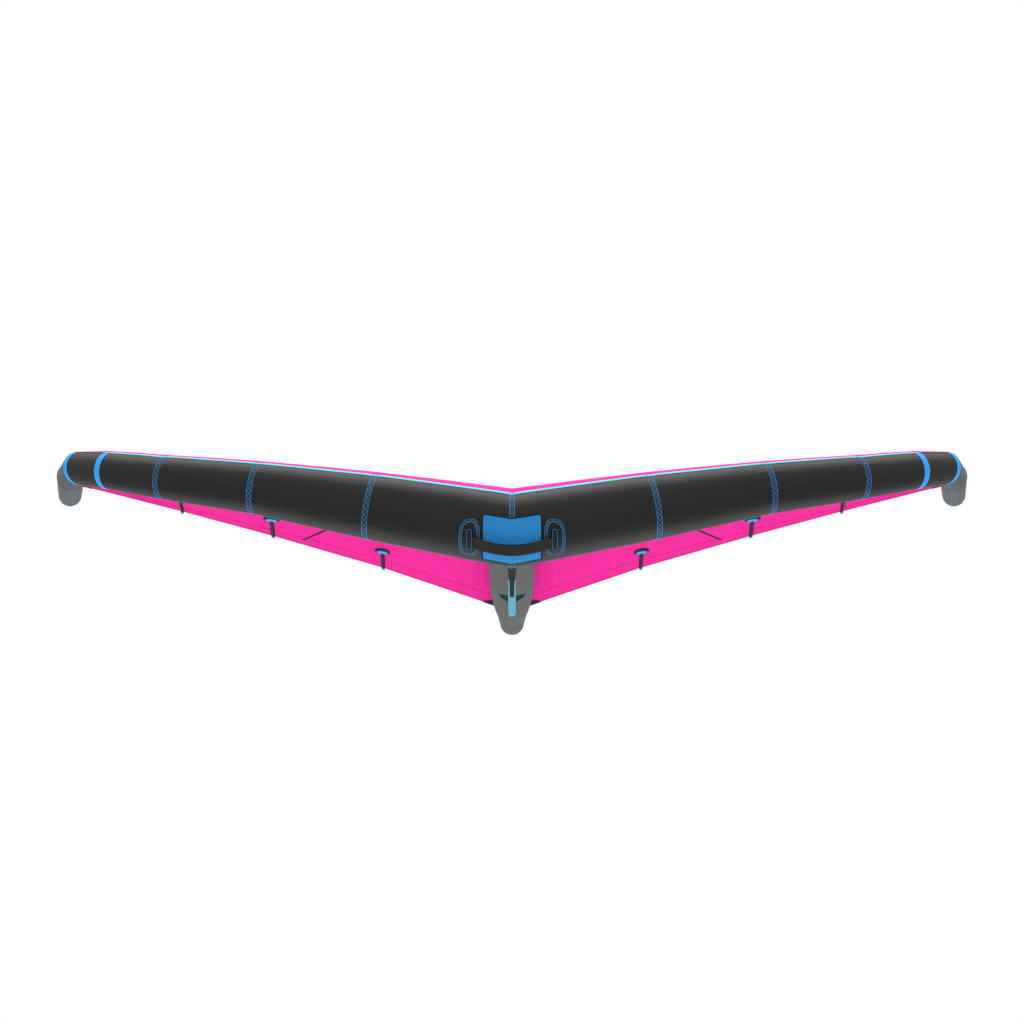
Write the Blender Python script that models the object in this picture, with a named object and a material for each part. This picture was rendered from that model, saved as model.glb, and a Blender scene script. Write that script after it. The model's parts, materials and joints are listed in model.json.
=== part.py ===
"""An inflatable hand wing for wing foiling: a tapered leading edge tube, a centre strut and a
canopy held between them. Metres, +Z up, leading edge towards -Y, wing tips at -X and +X. The
origin lies under the middle of the wing, at the level of the surface that it stands on."""

import math

import bmesh
import bpy
from mathutils import Matrix, Vector

# Leading edge tube, measured on its axis from the middle of the wing
TUBE_HALF_SPAN = 1.489
TIP_BACK = 0.930
TIP_HEIGHT = 0.2619
TUBE_RADIUS = 0.120
STATION_ACROSS_SHARES = (0.0, 0.3015, 0.5520, 0.7550, 0.8845, 0.9563, 0.9785, 1.0)
STATION_BACK_SHARES = (0.0, 0.0538, 0.1344, 0.2366, 0.3602, 0.4731, 0.5860, 1.0)
STATION_RISE_SHARES = (0.0, 0.3146, 0.5838, 0.7648, 0.9171, 1.0, 0.9538, 0.9190)
STATION_RADIUS_SHARES = (1.0, 0.883, 0.700, 0.592, 0.508, 0.454, 0.383, 0.325)
TUBE_SIDES = 24
SLEEVE_WALL = 0.0010
BLADDER_WALL = 0.0008
BLADDER_SIDES = 12

# Clearances between neighbours
GAP = 0.0003
CANOPY_GAP = 0.0006
VALVE_GAP = 0.0004
OVERRUN = 0.03

# Canopy
CANOPY_CHORD = 1.950
CANOPY_THICKNESS = 0.0012
CAMBER_SHARE = 0.060
CAMBER_FRONT_POWER = 0.80
EDGE_BACK_SHARES = (0.8308, 0.6964, 0.5908)
EDGE_RISE_SHARES = (0.2994, 0.5987, 0.8209)
EDGE_TIP_SHARES = (0.505, 0.750, 0.875)
TIP_CORNER_SHARE = 0.80
ATTACH_ANGLE = 75.0
ELBOW_ATTACH_ANGLE = 105.0
CORNER_ATTACH_ANGLE = 150.0
EDGE_BAND_WIDTH = 0.105
HEM_WIDTH = 0.009
TAPE_WIDTH = 0.012
TAPE_THICKNESS = 0.0008
TAPE_STATIONS = 6
SEAM_1_SHARE = 0.708
SEAM_2_SHARE = 0.884
FRONT_ROW_SHARES = (0.0, 0.02, 0.05, 0.105, 0.18, 0.275, 0.385, 0.50, 0.62)
ROW_SHARES = (*FRONT_ROW_SHARES, SEAM_1_SHARE, 0.82, SEAM_2_SHARE, 0.95, 1.0)
RIB_CAMBER_SHARES = (1.0, 0.9, 0.85, 0.85, 1.0, 0.85, 0.5)
LAST_RIB_FRONT_SHARE = 0.5
PANEL_COLUMNS = 2

# Bands round the leading edge
WIDE_BAND_WIDTH = 0.018
TIP_BAND_WIDTH = 0.010
BAND_THICKNESS = 0.0008
BAND_FACETS = 19

# Centre strut
STRUT_RADIUS = 0.080
STRUT_END_LENGTH = 0.080
STRUT_SKIPPED_ROWS_COUNT = 2
STRUT_FRONT_RADIUS_SHARES = (0.96, 0.975, 0.985, 0.99, 1.0, 1.0, 1.0)
STRUT_RADIUS_SHARES = (*STRUT_FRONT_RADIUS_SHARES, 0.990, 0.9125, 0.838, 0.7125, 0.6125, 0.525)
BLADDER_SKIPPED_ROWS_COUNT = 2
STRUT_BLADDER_NOSE_SHARE = 0.5
DOME_ANGLES = (30.0, 60.0, 82.0)

# Battens in their pockets on the canopy's underside
BATTEN_WIDTH = 0.009
BATTEN_HEIGHT = 0.0022
POCKET_WALL = 0.0008
POCKET_LENGTHS = (0.154, 0.159, 0.120)
POCKET_ROWS = 4
END_PATCH_WIDTH = 0.054
END_PATCH_LENGTH = 0.068
END_PATCH_OVERLAP = 0.006
BATTEN_END_GAP = 0.005

# Reinforcing patches
PATCH_THICKNESS = 0.0012
PATCH_ROW_SHARES = (0.01, 0.06, 0.20, 0.5, 0.80, 0.94, 0.99)
CHAFE_HALF_WIDTH = 0.093
CHAFE_TOP_ANGLE = 11.0
CHAFE_BOTTOM_ANGLE = -66.5
CHAFE_SQUARENESS = 8.0
HANDLE_PATCH_ACROSS = 0.136
HANDLE_PATCH_WIDTH = 0.070
HANDLE_PATCH_TOP_ANGLE = 1.0
HANDLE_PATCH_BOTTOM_ANGLE = -65.0
OVAL_SQUARENESS = 2.4
SIDE_PATCH_LENGTH = 0.075
SIDE_PATCH_OUTER_LENGTH = 0.020
SIDE_PATCH_SWEEP = 0.018
SIDE_PATCH_TOP_ANGLE = 32.0

# Grab handle of webbing at the front
HANDLE_HALF_LENGTH = 0.130
HANDLE_ANGLE = -35.5
HANDLE_REACH = 0.080
HANDLE_DROP_ANGLE = 25.6
HANDLE_WIDTH = 0.038
WEBBING_THICKNESS = 0.0026
HANDLE_BEAD_RADIUS = 0.0034
HANDLE_TAPER_REACH = 0.036
HANDLE_END_LIFT = 0.0020
HANDLE_STEPS = 16

# Landing strip and tongue under the strut, where a boom is fastened
STRIP_WIDTH = 0.026
STRIP_THICKNESS = 0.003
STRIP_FRONT_SHARE = 0.5564
STRIP_LENGTH = 0.490
TONGUE_THICKNESS = 0.002
TONGUE_FRONT_SHARE = 0.1282
TONGUE_STEP = 0.004
TONGUE_END_SHARE = 0.664
TONGUE_PLACE_SHARES = (0.0, 0.62, 0.675, 0.78, 0.82, 0.98, 1.0)
TONGUE_WIDTH = 0.044
TONGUE_WIDTH_SHARES = (1.0, 0.82, 0.64, 0.51, 0.36, 0.32, 0.16)

# Inflation valves
VALVE_COLLAR_RADIUS = 0.0190
VALVE_BORE_RADIUS = 0.0155
VALVE_LIP_RADIUS = 0.0225
VALVE_LIP_HEIGHT = 0.003
VALVE_COLLAR_HEIGHT = 0.010
VALVE_COLLAR_DEPTH = 0.012
VALVE_SEAT_DEPTH = 0.0095
VALVE_SEAT_RADIUS = 0.0115
INSERT_TOP = 0.004
GRIP_HEIGHT = 0.004
GRIP_WIDTH = 0.005
CAP_RADIUS = 0.0205
CAP_HEIGHT = 0.006
CAP_EDGE_SHARE = 0.7
CAP_TOP_SHARE = 0.9
CAP_TAB_END_SHARE = 0.7
CAP_PLUG_DEPTH = 0.003
CAP_PLUG_WALL = 0.002
CAP_LUG_LENGTH = 0.007
CAP_LUG_WIDTH = 0.012
CAP_LUG_HEIGHT = 0.003
VALVE_SIDES = 16
TUBE_VALVE_ACROSS = 0.260
TUBE_VALVE_ANGLE = 195.0
STRUT_VALVE_BACK = 0.420
STRUT_VALVE_ANGLE = -15.0

SHARP_ANGLE = 32.0
UP = Vector((0.0, 0.0, 1.0))

COLOURS = {
    "black_dacron": ("232324", 0.72, 0.0),
    "grey_dacron": ("6f716f", 0.70, 0.0),
    "pink_ripstop": ("ff2ba6", 0.55, 0.0),
    "pink_band": ("f0249a", 0.58, 0.0),
    "blue_tape": ("3aa6f2", 0.60, 0.0),
    "blue_patch": ("2f8fd3", 0.62, 0.0),
    "cyan_tape": ("4fe0f5", 0.60, 0.0),
    "cyan_strip": ("5cb8d6", 0.50, 0.0),
    "black_webbing": ("18181a", 0.80, 0.0),
    "batten_glassfibre": ("d8d4c4", 0.40, 0.0),
    "bladder_film": ("dfe4e6", 0.30, 0.0),
    "valve_plastic": ("2b2c2e", 0.45, 0.0),
    "valve_insert_plastic": ("c9ccce", 0.45, 0.0),
}


def start_scene():
    for obj in list(bpy.data.objects):
        bpy.data.objects.remove(obj, do_unlink=True)


def channel(value):
    """One sRGB channel from 0 to 1, made linear."""
    return value / 12.92 if value <= 0.04045 else ((value + 0.055) / 1.055) ** 2.4


def material(name):
    found = bpy.data.materials.get(name)
    if found:
        return found
    code, roughness, metallic = COLOURS[name]
    made = bpy.data.materials.new(name)
    made.use_nodes = True
    shader = made.node_tree.nodes["Principled BSDF"]
    colour = [channel(int(code[i : i + 2], 16) / 255) for i in (0, 2, 4)]
    shader.inputs["Base Color"].default_value = (*colour, 1.0)
    shader.inputs["Roughness"].default_value = roughness
    shader.inputs["Metallic"].default_value = metallic
    made.diffuse_color = (*colour, 1.0)
    return made


def add_object(name, bm, material_name, place=None):
    """The mesh as a named object of the wing. A mesh built round its own origin is set down by place."""
    bmesh.ops.recalc_face_normals(bm, faces=bm.faces)
    mesh = bpy.data.meshes.new(name)
    bm.to_mesh(mesh)
    bm.free()
    mesh.materials.append(material(material_name))
    mesh.shade_smooth()
    mesh.set_sharp_from_angle(angle=math.radians(SHARP_ANGLE))
    obj = bpy.data.objects.new(name, mesh)
    bpy.context.scene.collection.objects.link(obj)
    obj.parent = bpy.data.objects["wing_frame"]
    obj.matrix_local = place or Matrix()
    return obj


def boolean(obj, cutter, operation="DIFFERENCE"):
    modifier = obj.modifiers.new(cutter.name, "BOOLEAN")
    modifier.operation = operation
    modifier.object = cutter
    cutter.hide_render = True
    cutter.display_type = "WIRE"


def mirror_bmesh(bm):
    """A copy of the mesh on the other side of the wing."""
    other = bm.copy()
    for vertex in other.verts:
        vertex.co.x = -vertex.co.x
    bmesh.ops.reverse_faces(other, faces=other.faces)
    return other


def add_pair(name, bm, material_name):
    """The piece on the right side and its mirror image on the left."""
    left = mirror_bmesh(bm)
    return (
        add_object(f"{name}_right", bm, material_name),
        add_object(f"{name}_left", left, material_name),
    )


def loft(bm, rings):
    """Faces between rings of as many points, each ring closed. Returns the first and last rings' vertices."""
    made = [[bm.verts.new(point) for point in ring] for ring in rings]
    for ring, after in zip(made, made[1:]):
        for k in range(len(ring)):
            n = (k + 1) % len(ring)
            bm.faces.new((ring[k], ring[n], after[n], after[k]))
    return made[0], made[-1]


def join_rings(bm, first, second):
    for k in range(len(first)):
        n = (k + 1) % len(first)
        bm.faces.new((first[k], first[n], second[n], second[k]))


def add_wall(bm, outer, inner, closed_end=False):
    """A thin wall between two lofts, open at its first ring, and at its last unless closed_end."""
    outer_first, outer_last = loft(bm, outer)
    inner_first, inner_last = loft(bm, inner)
    join_rings(bm, outer_first, inner_first)
    if closed_end:
        bm.faces.new(outer_last)
        bm.faces.new(inner_last)
    else:
        join_rings(bm, outer_last, inner_last)


def add_solid_loft(bm, rings):
    first, last = loft(bm, rings)
    bm.faces.new(first)
    bm.faces.new(last)


def add_plate(bm, lower, upper):
    """A closed sheet between two grids of points, each a list of rows."""
    low = [[bm.verts.new(point) for point in row] for row in lower]
    high = [[bm.verts.new(point) for point in row] for row in upper]
    for grid in (low, high):
        for row, after in zip(grid, grid[1:]):
            for j in range(len(row) - 1):
                bm.faces.new((row[j], row[j + 1], after[j + 1], after[j]))
    rims = [[row[0] for row in low], [row[-1] for row in low], low[0], low[-1]]
    tops = [[row[0] for row in high], [row[-1] for row in high], high[0], high[-1]]
    for rim, top in zip(rims, tops):
        for j in range(len(rim) - 1):
            bm.faces.new((rim[j], rim[j + 1], top[j + 1], top[j]))


def lifted(grid, distance):
    """The grid moved along its own normals, which point up on a grid of back-going rows on the right side."""
    rows, columns = len(grid), len(grid[0])
    moved = []
    for i in range(rows):
        line = []
        for j in range(columns):
            back = grid[min(i + 1, rows - 1)][j] - grid[max(i - 1, 0)][j]
            across = grid[i][min(j + 1, columns - 1)] - grid[i][max(j - 1, 0)]
            line.append(grid[i][j] + across.cross(back).normalized() * distance)
        moved.append(line)
    return moved


# The leading edge tube: straight tapered bays between stations, with mitred joints

STATIONS = [
    Vector((across * TUBE_HALF_SPAN, back * TIP_BACK, rise * TIP_HEIGHT))
    for across, back, rise in zip(STATION_ACROSS_SHARES, STATION_BACK_SHARES, STATION_RISE_SHARES)
]
RADII = [share * TUBE_RADIUS for share in STATION_RADIUS_SHARES]
LAST_STATION = len(STATIONS) - 1
FACET_ANGLE = 360.0 / TUBE_SIDES


def bay_axes(bay):
    """Unit vectors along a bay's axis towards the tip, forward of it and up from it."""
    along = (STATIONS[bay + 1] - STATIONS[bay]).normalized()
    up = (UP - along * UP.dot(along)).normalized()
    return along, along.cross(up), up


def mitre_normal(station):
    if station == 0:
        return Vector((1.0, 0.0, 0.0))
    if station == LAST_STATION:
        return bay_axes(station - 1)[0]
    return (bay_axes(station - 1)[0] + bay_axes(station)[0]).normalized()


def mitre_point(bay, end, angle, radius):
    """The point at this angle, from the front upwards, where a bay's tube meets its first or second mitre."""
    along, forward, up = bay_axes(bay)
    turn = math.radians(angle)
    offset = (forward * math.cos(turn) + up * math.sin(turn)) * radius
    normal = mitre_normal(bay + end)
    return STATIONS[bay + end] + offset - along * (offset.dot(normal) / along.dot(normal))


def mitre_ring(bay, end, grow, inset=0.0, sides=TUBE_SIDES):
    """A bay's end ring, with its radius grown by grow, drawn inset into the bay."""
    shift = bay_axes(bay)[0] * (inset if end == 0 else -inset)
    radius = RADII[bay + end] + grow
    return [mitre_point(bay, end, 360.0 * k / sides, radius) + shift for k in range(sides)]


def tube_facet_point(bay, share, angle, lift=0.0):
    """A point on the flat facets of a bay's tube, lifted off them."""
    steps = angle / FACET_ANGLE
    lower = math.floor(steps)
    ends = []
    for end in (0, 1):
        radius = RADII[bay + end] + lift
        low = mitre_point(bay, end, lower * FACET_ANGLE, radius)
        high = mitre_point(bay, end, (lower + 1) * FACET_ANGLE, radius)
        ends.append(low.lerp(high, steps - lower))
    return ends[0].lerp(ends[1], share)


def centre_tube_point(across, angle, lift):
    """The same on the two bays at the middle, by the distance across from the middle."""
    point = tube_facet_point(0, abs(across) / STATIONS[1].x, angle, lift)
    if across < 0.0:
        point.x = -point.x
    return point


def bladder_change():
    """The change of radius that keeps a bladder of fewer sides clear of the sleeve's inner facets."""
    facet_sag = TUBE_RADIUS * (1.0 - math.cos(math.pi / TUBE_SIDES))
    return -(SLEEVE_WALL + facet_sag + GAP)


def dome_rings(centre, along, ring, length):
    """Rings that close a tube beyond its last ring, to a small flat end."""
    rings = []
    for angle in DOME_ANGLES:
        turn = math.radians(angle)
        middle = centre + along * length * math.sin(turn)
        rings.append([middle + (point - centre) * math.cos(turn) for point in ring])
    return rings


def build_leading_edge():
    names = ["le_panel_1", "le_panel_2", "le_panel_3", "le_panel_4", "le_panel_5", "tip_elbow"]
    made = {}
    for bay, name in enumerate(names):
        bm = bmesh.new()
        outer = [mitre_ring(bay, end, 0.0, GAP / 2) for end in (0, 1)]
        inner = [mitre_ring(bay, end, -SLEEVE_WALL, GAP / 2) for end in (0, 1)]
        add_wall(bm, outer, inner)
        made[name] = add_pair(name, bm, "grey_dacron" if name == "tip_elbow" else "black_dacron")
    build_tip_end()
    build_bands()
    return made


def build_tip_end():
    bay = LAST_STATION - 1
    along = bay_axes(bay)[0]
    bm = bmesh.new()
    walls = []
    for grow in (0.0, -SLEEVE_WALL):
        rings = [mitre_ring(bay, 0, grow, GAP / 2), mitre_ring(bay, 1, grow)]
        rings += dome_rings(STATIONS[LAST_STATION], along, rings[-1], RADII[LAST_STATION] + grow)
        walls.append(rings)
    add_wall(bm, walls[0], walls[1], closed_end=True)
    add_pair("tip_end", bm, "grey_dacron")


def build_bands():
    """Narrow bands sewn round the sleeve from the seam tape to the canopy's underside, at two stations."""
    for name, station, width in (("le_wide_band", 4, WIDE_BAND_WIDTH), ("le_tip_band", 5, TIP_BAND_WIDTH)):
        bay = station - 1
        length = (STATIONS[station] - STATIONS[bay]).length
        shares = [1.0 - (width + GAP) / length, 1.0 - GAP / length]
        angles = [ATTACH_ANGLE - FACET_ANGLE * k for k in range(1, BAND_FACETS + 1)]
        grids = []
        for lift in (GAP, GAP + BAND_THICKNESS):
            grid = [[tube_facet_point(bay, share, angle, lift) for share in shares] for angle in angles]
            grids.append(grid)
        bm = bmesh.new()
        add_plate(bm, grids[0], grids[1])
        add_pair(name, bm, "blue_tape")


def bladder_rings(change):
    """Rings of the leading edge bladder from the left tip to the right one."""
    right = [mitre_ring(0, 0, change, 0.0, BLADDER_SIDES)]
    right += [mitre_ring(bay, 1, change, 0.0, BLADDER_SIDES) for bay in range(LAST_STATION)]
    along = bay_axes(LAST_STATION - 1)[0]
    right += dome_rings(STATIONS[LAST_STATION], along, right[-1], RADII[LAST_STATION] + change)
    left = [[Vector((-point.x, point.y, point.z)) for point in ring] for ring in right[1:]]
    return left[::-1] + right


def build_bladder():
    outer_change = bladder_change()
    bm = bmesh.new()
    add_solid_loft(bm, bladder_rings(outer_change))
    bladder = add_object("le_bladder", bm, "bladder_film")
    bm = bmesh.new()
    add_solid_loft(bm, bladder_rings(outer_change - BLADDER_WALL))
    boolean(bladder, add_object("cutter_le_bladder", bm, "bladder_film"))
    return bladder


# The canopy: ribs that run back from the tube to the trailing edge, and the cloth between them


CANOPY_LIFT = GAP + CANOPY_THICKNESS / 2
ELBOW_STATION = LAST_STATION - 1
TUBE_BOTTOM = -mitre_point(0, 0, -90.0, TUBE_RADIUS).z
STRUT_END_RADIUS = STRUT_RADIUS * STRUT_RADIUS_SHARES[-1]
EDGE_CENTRE = Vector((0.0, CANOPY_CHORD, 2 * STRUT_END_RADIUS - TUBE_BOTTOM + CANOPY_LIFT))


def tube_round_point(bay, share, angle, lift):
    """A point on the round tube that the facets lie inside."""
    ends = [mitre_point(bay, end, angle, RADII[bay + end] + lift) for end in (0, 1)]
    return ends[0].lerp(ends[1], share)


def tip_line_point(share):
    """The canopy's seam along the tip tube, which turns from its top to its inner side."""
    angle = ELBOW_ATTACH_ANGLE + (CORNER_ATTACH_ANGLE - ELBOW_ATTACH_ANGLE) * share
    return tube_round_point(ELBOW_STATION, TIP_CORNER_SHARE * share, angle, CANOPY_LIFT)


def straight_ribs():
    """Front and back ends of each rib but the last, and the share of the camber that it keeps."""
    corner = tip_line_point(1.0)
    fronts = [tube_round_point(bay, 0.0, ATTACH_ANGLE, CANOPY_LIFT) for bay in range(ELBOW_STATION)]
    half_way = (ATTACH_ANGLE + ELBOW_ATTACH_ANGLE) / 2
    fronts.append(tube_round_point(ELBOW_STATION - 1, LAST_RIB_FRONT_SHARE, half_way, CANOPY_LIFT))
    backs = [EDGE_CENTRE]
    for station, back, rise in zip(BATTEN_RIBS, EDGE_BACK_SHARES, EDGE_RISE_SHARES):
        backs.append(Vector((STATIONS[station].x, back * CANOPY_CHORD, rise * TIP_HEIGHT)))
    backs += [backs[-1].lerp(corner, share) for share in EDGE_TIP_SHARES]
    return list(zip(fronts, backs, RIB_CAMBER_SHARES))


BATTEN_RIBS = (1, 2, 3)
RIBS = straight_ribs()
LAST_RIB = len(RIBS)


def rib_point(rib, share):
    if rib == LAST_RIB:
        return tip_line_point(share)
    front, back, keep = RIBS[rib]
    height = CAMBER_SHARE * keep * (back - front).length
    rise = height * math.sin(math.pi * share**CAMBER_FRONT_POWER)
    return front.lerp(back, share) + UP * rise


def rib_chord(rib):
    return (rib_point(rib, 1.0) - rib_point(rib, 0.0)).length


def bay_width(rib):
    """Width of the cloth between this rib and the next, at the trailing edge."""
    return (rib_point(rib + 1, 1.0) - rib_point(rib, 1.0)).length


def canopy_point(place, share):
    """A point of the canopy. Place counts ribs from the middle, share runs from the tube to the back edge."""
    side = -1.0 if place < 0.0 else 1.0
    place = abs(place)
    rib = min(int(place), LAST_RIB - 1)
    point = rib_point(rib, share).lerp(rib_point(rib + 1, share), place - rib)
    point.x *= side
    return point


def chord_at(place):
    """The canopy's length from the tube to the trailing edge at a place between two ribs."""
    rib = min(int(place), LAST_RIB - 1)
    return rib_chord(rib) + (rib_chord(rib + 1) - rib_chord(rib)) * (place - rib)


def band_start(place):
    """The share of the chord where the trailing edge band starts, for a band of even width."""
    return 1.0 - EDGE_BAND_WIDTH / chord_at(place)


def places_between(first, last, trim_first, trim_last):
    """Places across a panel, with every rib inside it, drawn in by half a gap at each side."""
    places = []
    for rib in range(first, last):
        columns = PANEL_COLUMNS if rib < BATTEN_RIBS[-1] else 1
        places += [rib + k / columns for k in range(columns)]
    places.append(last)
    places[0] += trim_first / bay_width(first)
    places[-1] -= trim_last / bay_width(last - 1)
    return places


def build_canopy():
    panels = ((0, 1), (1, 2), (2, 3), (3, LAST_RIB))
    for number, (first, last) in enumerate(panels, start=1):
        places = places_between(first, last, GAP / 2, 0.0 if last == LAST_RIB else GAP / 2)
        ends = [band_start(place) - GAP / 2 / chord_at(place) for place in places]
        grid = [[canopy_point(place, row * end) for place, end in zip(places, ends)] for row in ROW_SHARES]
        bm = bmesh.new()
        add_plate(bm, lifted(grid, -CANOPY_THICKNESS / 2), lifted(grid, CANOPY_THICKNESS / 2))
        add_pair(f"canopy_panel_{number}", bm, "pink_ripstop")
    build_edge()


def build_edge():
    """The band along the trailing edge and the hem behind it."""
    half = places_between(0, LAST_RIB, 0.0, 0.0)
    places = [-place for place in half[:0:-1]] + half
    grid = []
    for row in (0.0, 1.0):
        line = []
        for place in places:
            start = band_start(abs(place))
            trim = GAP / 2 * (1.0 - start) / EDGE_BAND_WIDTH
            line.append(canopy_point(place, start + trim + (1.0 - start - trim) * row))
        grid.append(line)
    bm = bmesh.new()
    add_plate(bm, lifted(grid, -CANOPY_THICKNESS / 2), lifted(grid, CANOPY_THICKNESS / 2))
    add_object("trailing_edge_band", bm, "pink_band")

    hem = [[], []]
    for before, end in zip(grid[0], grid[1]):
        back = end - before
        back.z = 0.0
        back.normalize()
        hem[0].append(end + back * 2 * GAP)
        hem[1].append(end + back * (2 * GAP + HEM_WIDTH))
    bm = bmesh.new()
    add_plate(bm, lifted(hem, -CANOPY_THICKNESS / 2), lifted(hem, CANOPY_THICKNESS / 2))
    add_object("trailing_edge_hem", bm, "pink_ripstop")


def build_seam_tape():
    """Bright tape on the sleeve, just in front of the canopy's front edge."""
    grids = []
    for lift in (GAP, GAP + TAPE_THICKNESS):
        grid = []
        for distance in (GAP + TAPE_WIDTH, 2 * GAP):
            line = []
            for station in range(TAPE_STATIONS):
                facet = 2 * RADII[station] * math.sin(math.radians(FACET_ANGLE / 2))
                angle = ATTACH_ANGLE - FACET_ANGLE * distance / facet
                bay, end = (station, 0.0) if station < TAPE_STATIONS - 1 else (station - 1, 1.0)
                line.append(tube_facet_point(bay, end, angle, lift))
            grid.append([Vector((-point.x, point.y, point.z)) for point in line[:0:-1]] + line)
        grids.append(grid)
    bm = bmesh.new()
    add_plate(bm, grids[0], grids[1])
    add_object("canopy_seam_tape", bm, "cyan_tape")


# The centre strut, which hangs under the canopy's middle line


def strut_rows():
    """Distance back, centre height and radius of each ring of the strut, down to its round end."""
    shares = [row * band_start(0) for row in ROW_SHARES[STRUT_SKIPPED_ROWS_COUNT:]] + [1.0]
    rows = []
    for share, radius_share in zip(shares, STRUT_RADIUS_SHARES):
        top = canopy_point(0, share) - UP * CANOPY_LIFT
        radius = radius_share * STRUT_RADIUS
        rows.append((top.y, top.z - radius, radius))
    return rows


STRUT = strut_rows()
SEAM_1_ROW = ROW_SHARES.index(SEAM_1_SHARE) - STRUT_SKIPPED_ROWS_COUNT
SEAM_2_ROW = ROW_SHARES.index(SEAM_2_SHARE) - STRUT_SKIPPED_ROWS_COUNT


def strut_at(back):
    """Centre height and radius of the strut at a distance back, straight between its rings."""
    for (y0, z0, r0), (y1, z1, r1) in zip(STRUT, STRUT[1:]):
        if back <= y1 or (y1, z1, r1) == STRUT[-1]:
            share = (back - y0) / (y1 - y0)
            return z0 + (z1 - z0) * share, r0 + (r1 - r0) * share


def strut_ring(back, grow=0.0, sides=TUBE_SIDES):
    height, radius = strut_at(back)
    radius += grow
    turns = [2 * math.pi * k / sides for k in range(sides)]
    return [Vector((math.cos(t) * radius, back, height + math.sin(t) * radius)) for t in turns]


def strut_length_rings(first, last, grow, first_inset, last_inset, sides=TUBE_SIDES):
    backs = [STRUT[row][0] for row in range(first, last + 1)]
    backs[0] += first_inset
    backs[-1] -= last_inset
    return [strut_ring(back, grow, sides) for back in backs]


def strut_end_rings(grow, sides=TUBE_SIDES):
    back, height, _ = STRUT[-1]
    centre = Vector((0.0, back, height))
    return dome_rings(centre, Vector((0.0, 1.0, 0.0)), strut_ring(back, grow, sides), STRUT_END_LENGTH + grow)


def strut_facet_point(back, angle, lift=0.0):
    """A point on the strut's flat facets at this angle, from straight below towards the right."""
    height, radius = strut_at(back)
    steps = angle / FACET_ANGLE
    lower = math.floor(steps)
    corners = []
    for k in (lower, lower + 1):
        turn = math.radians(k * FACET_ANGLE - 90.0)
        corners.append(Vector((math.cos(turn), 0.0, math.sin(turn))) * (radius + lift))
    return Vector((0.0, back, height)) + corners[0].lerp(corners[1], steps - lower)


def build_strut(tube_cutter):
    last = len(STRUT) - 1
    lengths = (
        ("strut_front", 0, SEAM_1_ROW, 0.0, GAP / 2),
        ("strut_middle", SEAM_1_ROW, SEAM_2_ROW, GAP / 2, GAP / 2),
        ("strut_rear", SEAM_2_ROW, last, GAP / 2, 0.0),
    )
    made = {}
    for name, first, end, first_inset, last_inset in lengths:
        closed = end == last
        walls = []
        for grow in (0.0, -SLEEVE_WALL):
            rings = strut_length_rings(first, end, grow, first_inset, last_inset)
            walls.append(rings + (strut_end_rings(grow) if closed else []))
        bm = bmesh.new()
        add_wall(bm, walls[0], walls[1], closed_end=closed)
        made[name] = add_object(name, bm, "grey_dacron")
    boolean(made["strut_front"], tube_cutter)
    return made["strut_front"]


def strut_bladder_rings(change):
    first = BLADDER_SKIPPED_ROWS_COUNT
    rings = strut_length_rings(first, len(STRUT) - 1, change, 0.0, 0.0, BLADDER_SIDES)
    back, height, radius = STRUT[first]
    nose = STRUT_BLADDER_NOSE_SHARE * radius + change
    front = dome_rings(Vector((0.0, back, height)), Vector((0.0, -1.0, 0.0)), rings[0], nose)
    return front[::-1] + rings + strut_end_rings(change, BLADDER_SIDES)


def build_strut_bladder():
    change = bladder_change()
    bm = bmesh.new()
    add_solid_loft(bm, strut_bladder_rings(change))
    bladder = add_object("strut_bladder", bm, "bladder_film")
    bm = bmesh.new()
    add_solid_loft(bm, strut_bladder_rings(change - BLADDER_WALL))
    boolean(bladder, add_object("cutter_strut_bladder", bm, "bladder_film"))
    return bladder


def tube_cutter():
    """The middle of the leading edge tube, grown by a gap, which shapes the strut's front end."""
    right = mitre_ring(0, 1, 2 * GAP)
    centre = mitre_ring(0, 0, 2 * GAP)
    left = [Vector((-point.x, point.y, point.z)) for point in right]
    bm = bmesh.new()
    add_solid_loft(bm, [left, centre, right])
    return add_object("cutter_tube", bm, "black_dacron")


# Patches that lie on the facets of the tube, the strut or the canopy


def round_share(share, squareness):
    """Half the width of a rounded outline at a share of its length, as a share of its greatest half width."""
    return (1.0 - abs(2.0 * share - 1.0) ** squareness) ** (1.0 / squareness)


def patch_rows(start, end, squareness, breaks=()):
    """Places along a rounded patch and its width there, with a row on each break that lies inside it."""
    rows = {round(start + (end - start) * share, 6): share for share in PATCH_ROW_SHARES}
    for place in breaks:
        share = (place - start) / (end - start)
        if PATCH_ROW_SHARES[0] < share < PATCH_ROW_SHARES[-1]:
            rows[place] = share
    ordered = sorted(rows, reverse=end < start)
    return [(place, round_share(rows[place], squareness)) for place in ordered]


def tube_patch(centre, half_width, top, bottom, squareness):
    """A rounded patch on the facets of the two middle bays."""
    facets = [k * FACET_ANGLE for k in range(-TUBE_SIDES // 2, TUBE_SIDES // 2)]
    bm = bmesh.new()
    grids = []
    for lift in (GAP, GAP + PATCH_THICKNESS):
        grid = []
        for angle, share in patch_rows(top, bottom, squareness, facets):
            wide = half_width * share
            columns = [centre - wide, centre, centre + wide]
            grid.append([centre_tube_point(across, angle, lift) for across in columns])
        grids.append(grid)
    add_plate(bm, grids[0], grids[1])
    return bm


def build_front_patches():
    bm = tube_patch(0.0, CHAFE_HALF_WIDTH, CHAFE_TOP_ANGLE, CHAFE_BOTTOM_ANGLE, CHAFE_SQUARENESS)
    add_object("chafe_patch", bm, "blue_patch")
    half = HANDLE_PATCH_WIDTH / 2
    bm = tube_patch(
        HANDLE_PATCH_ACROSS, half, HANDLE_PATCH_TOP_ANGLE, HANDLE_PATCH_BOTTOM_ANGLE, OVAL_SQUARENESS
    )
    add_pair("handle_patch", bm, "black_dacron")


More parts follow.
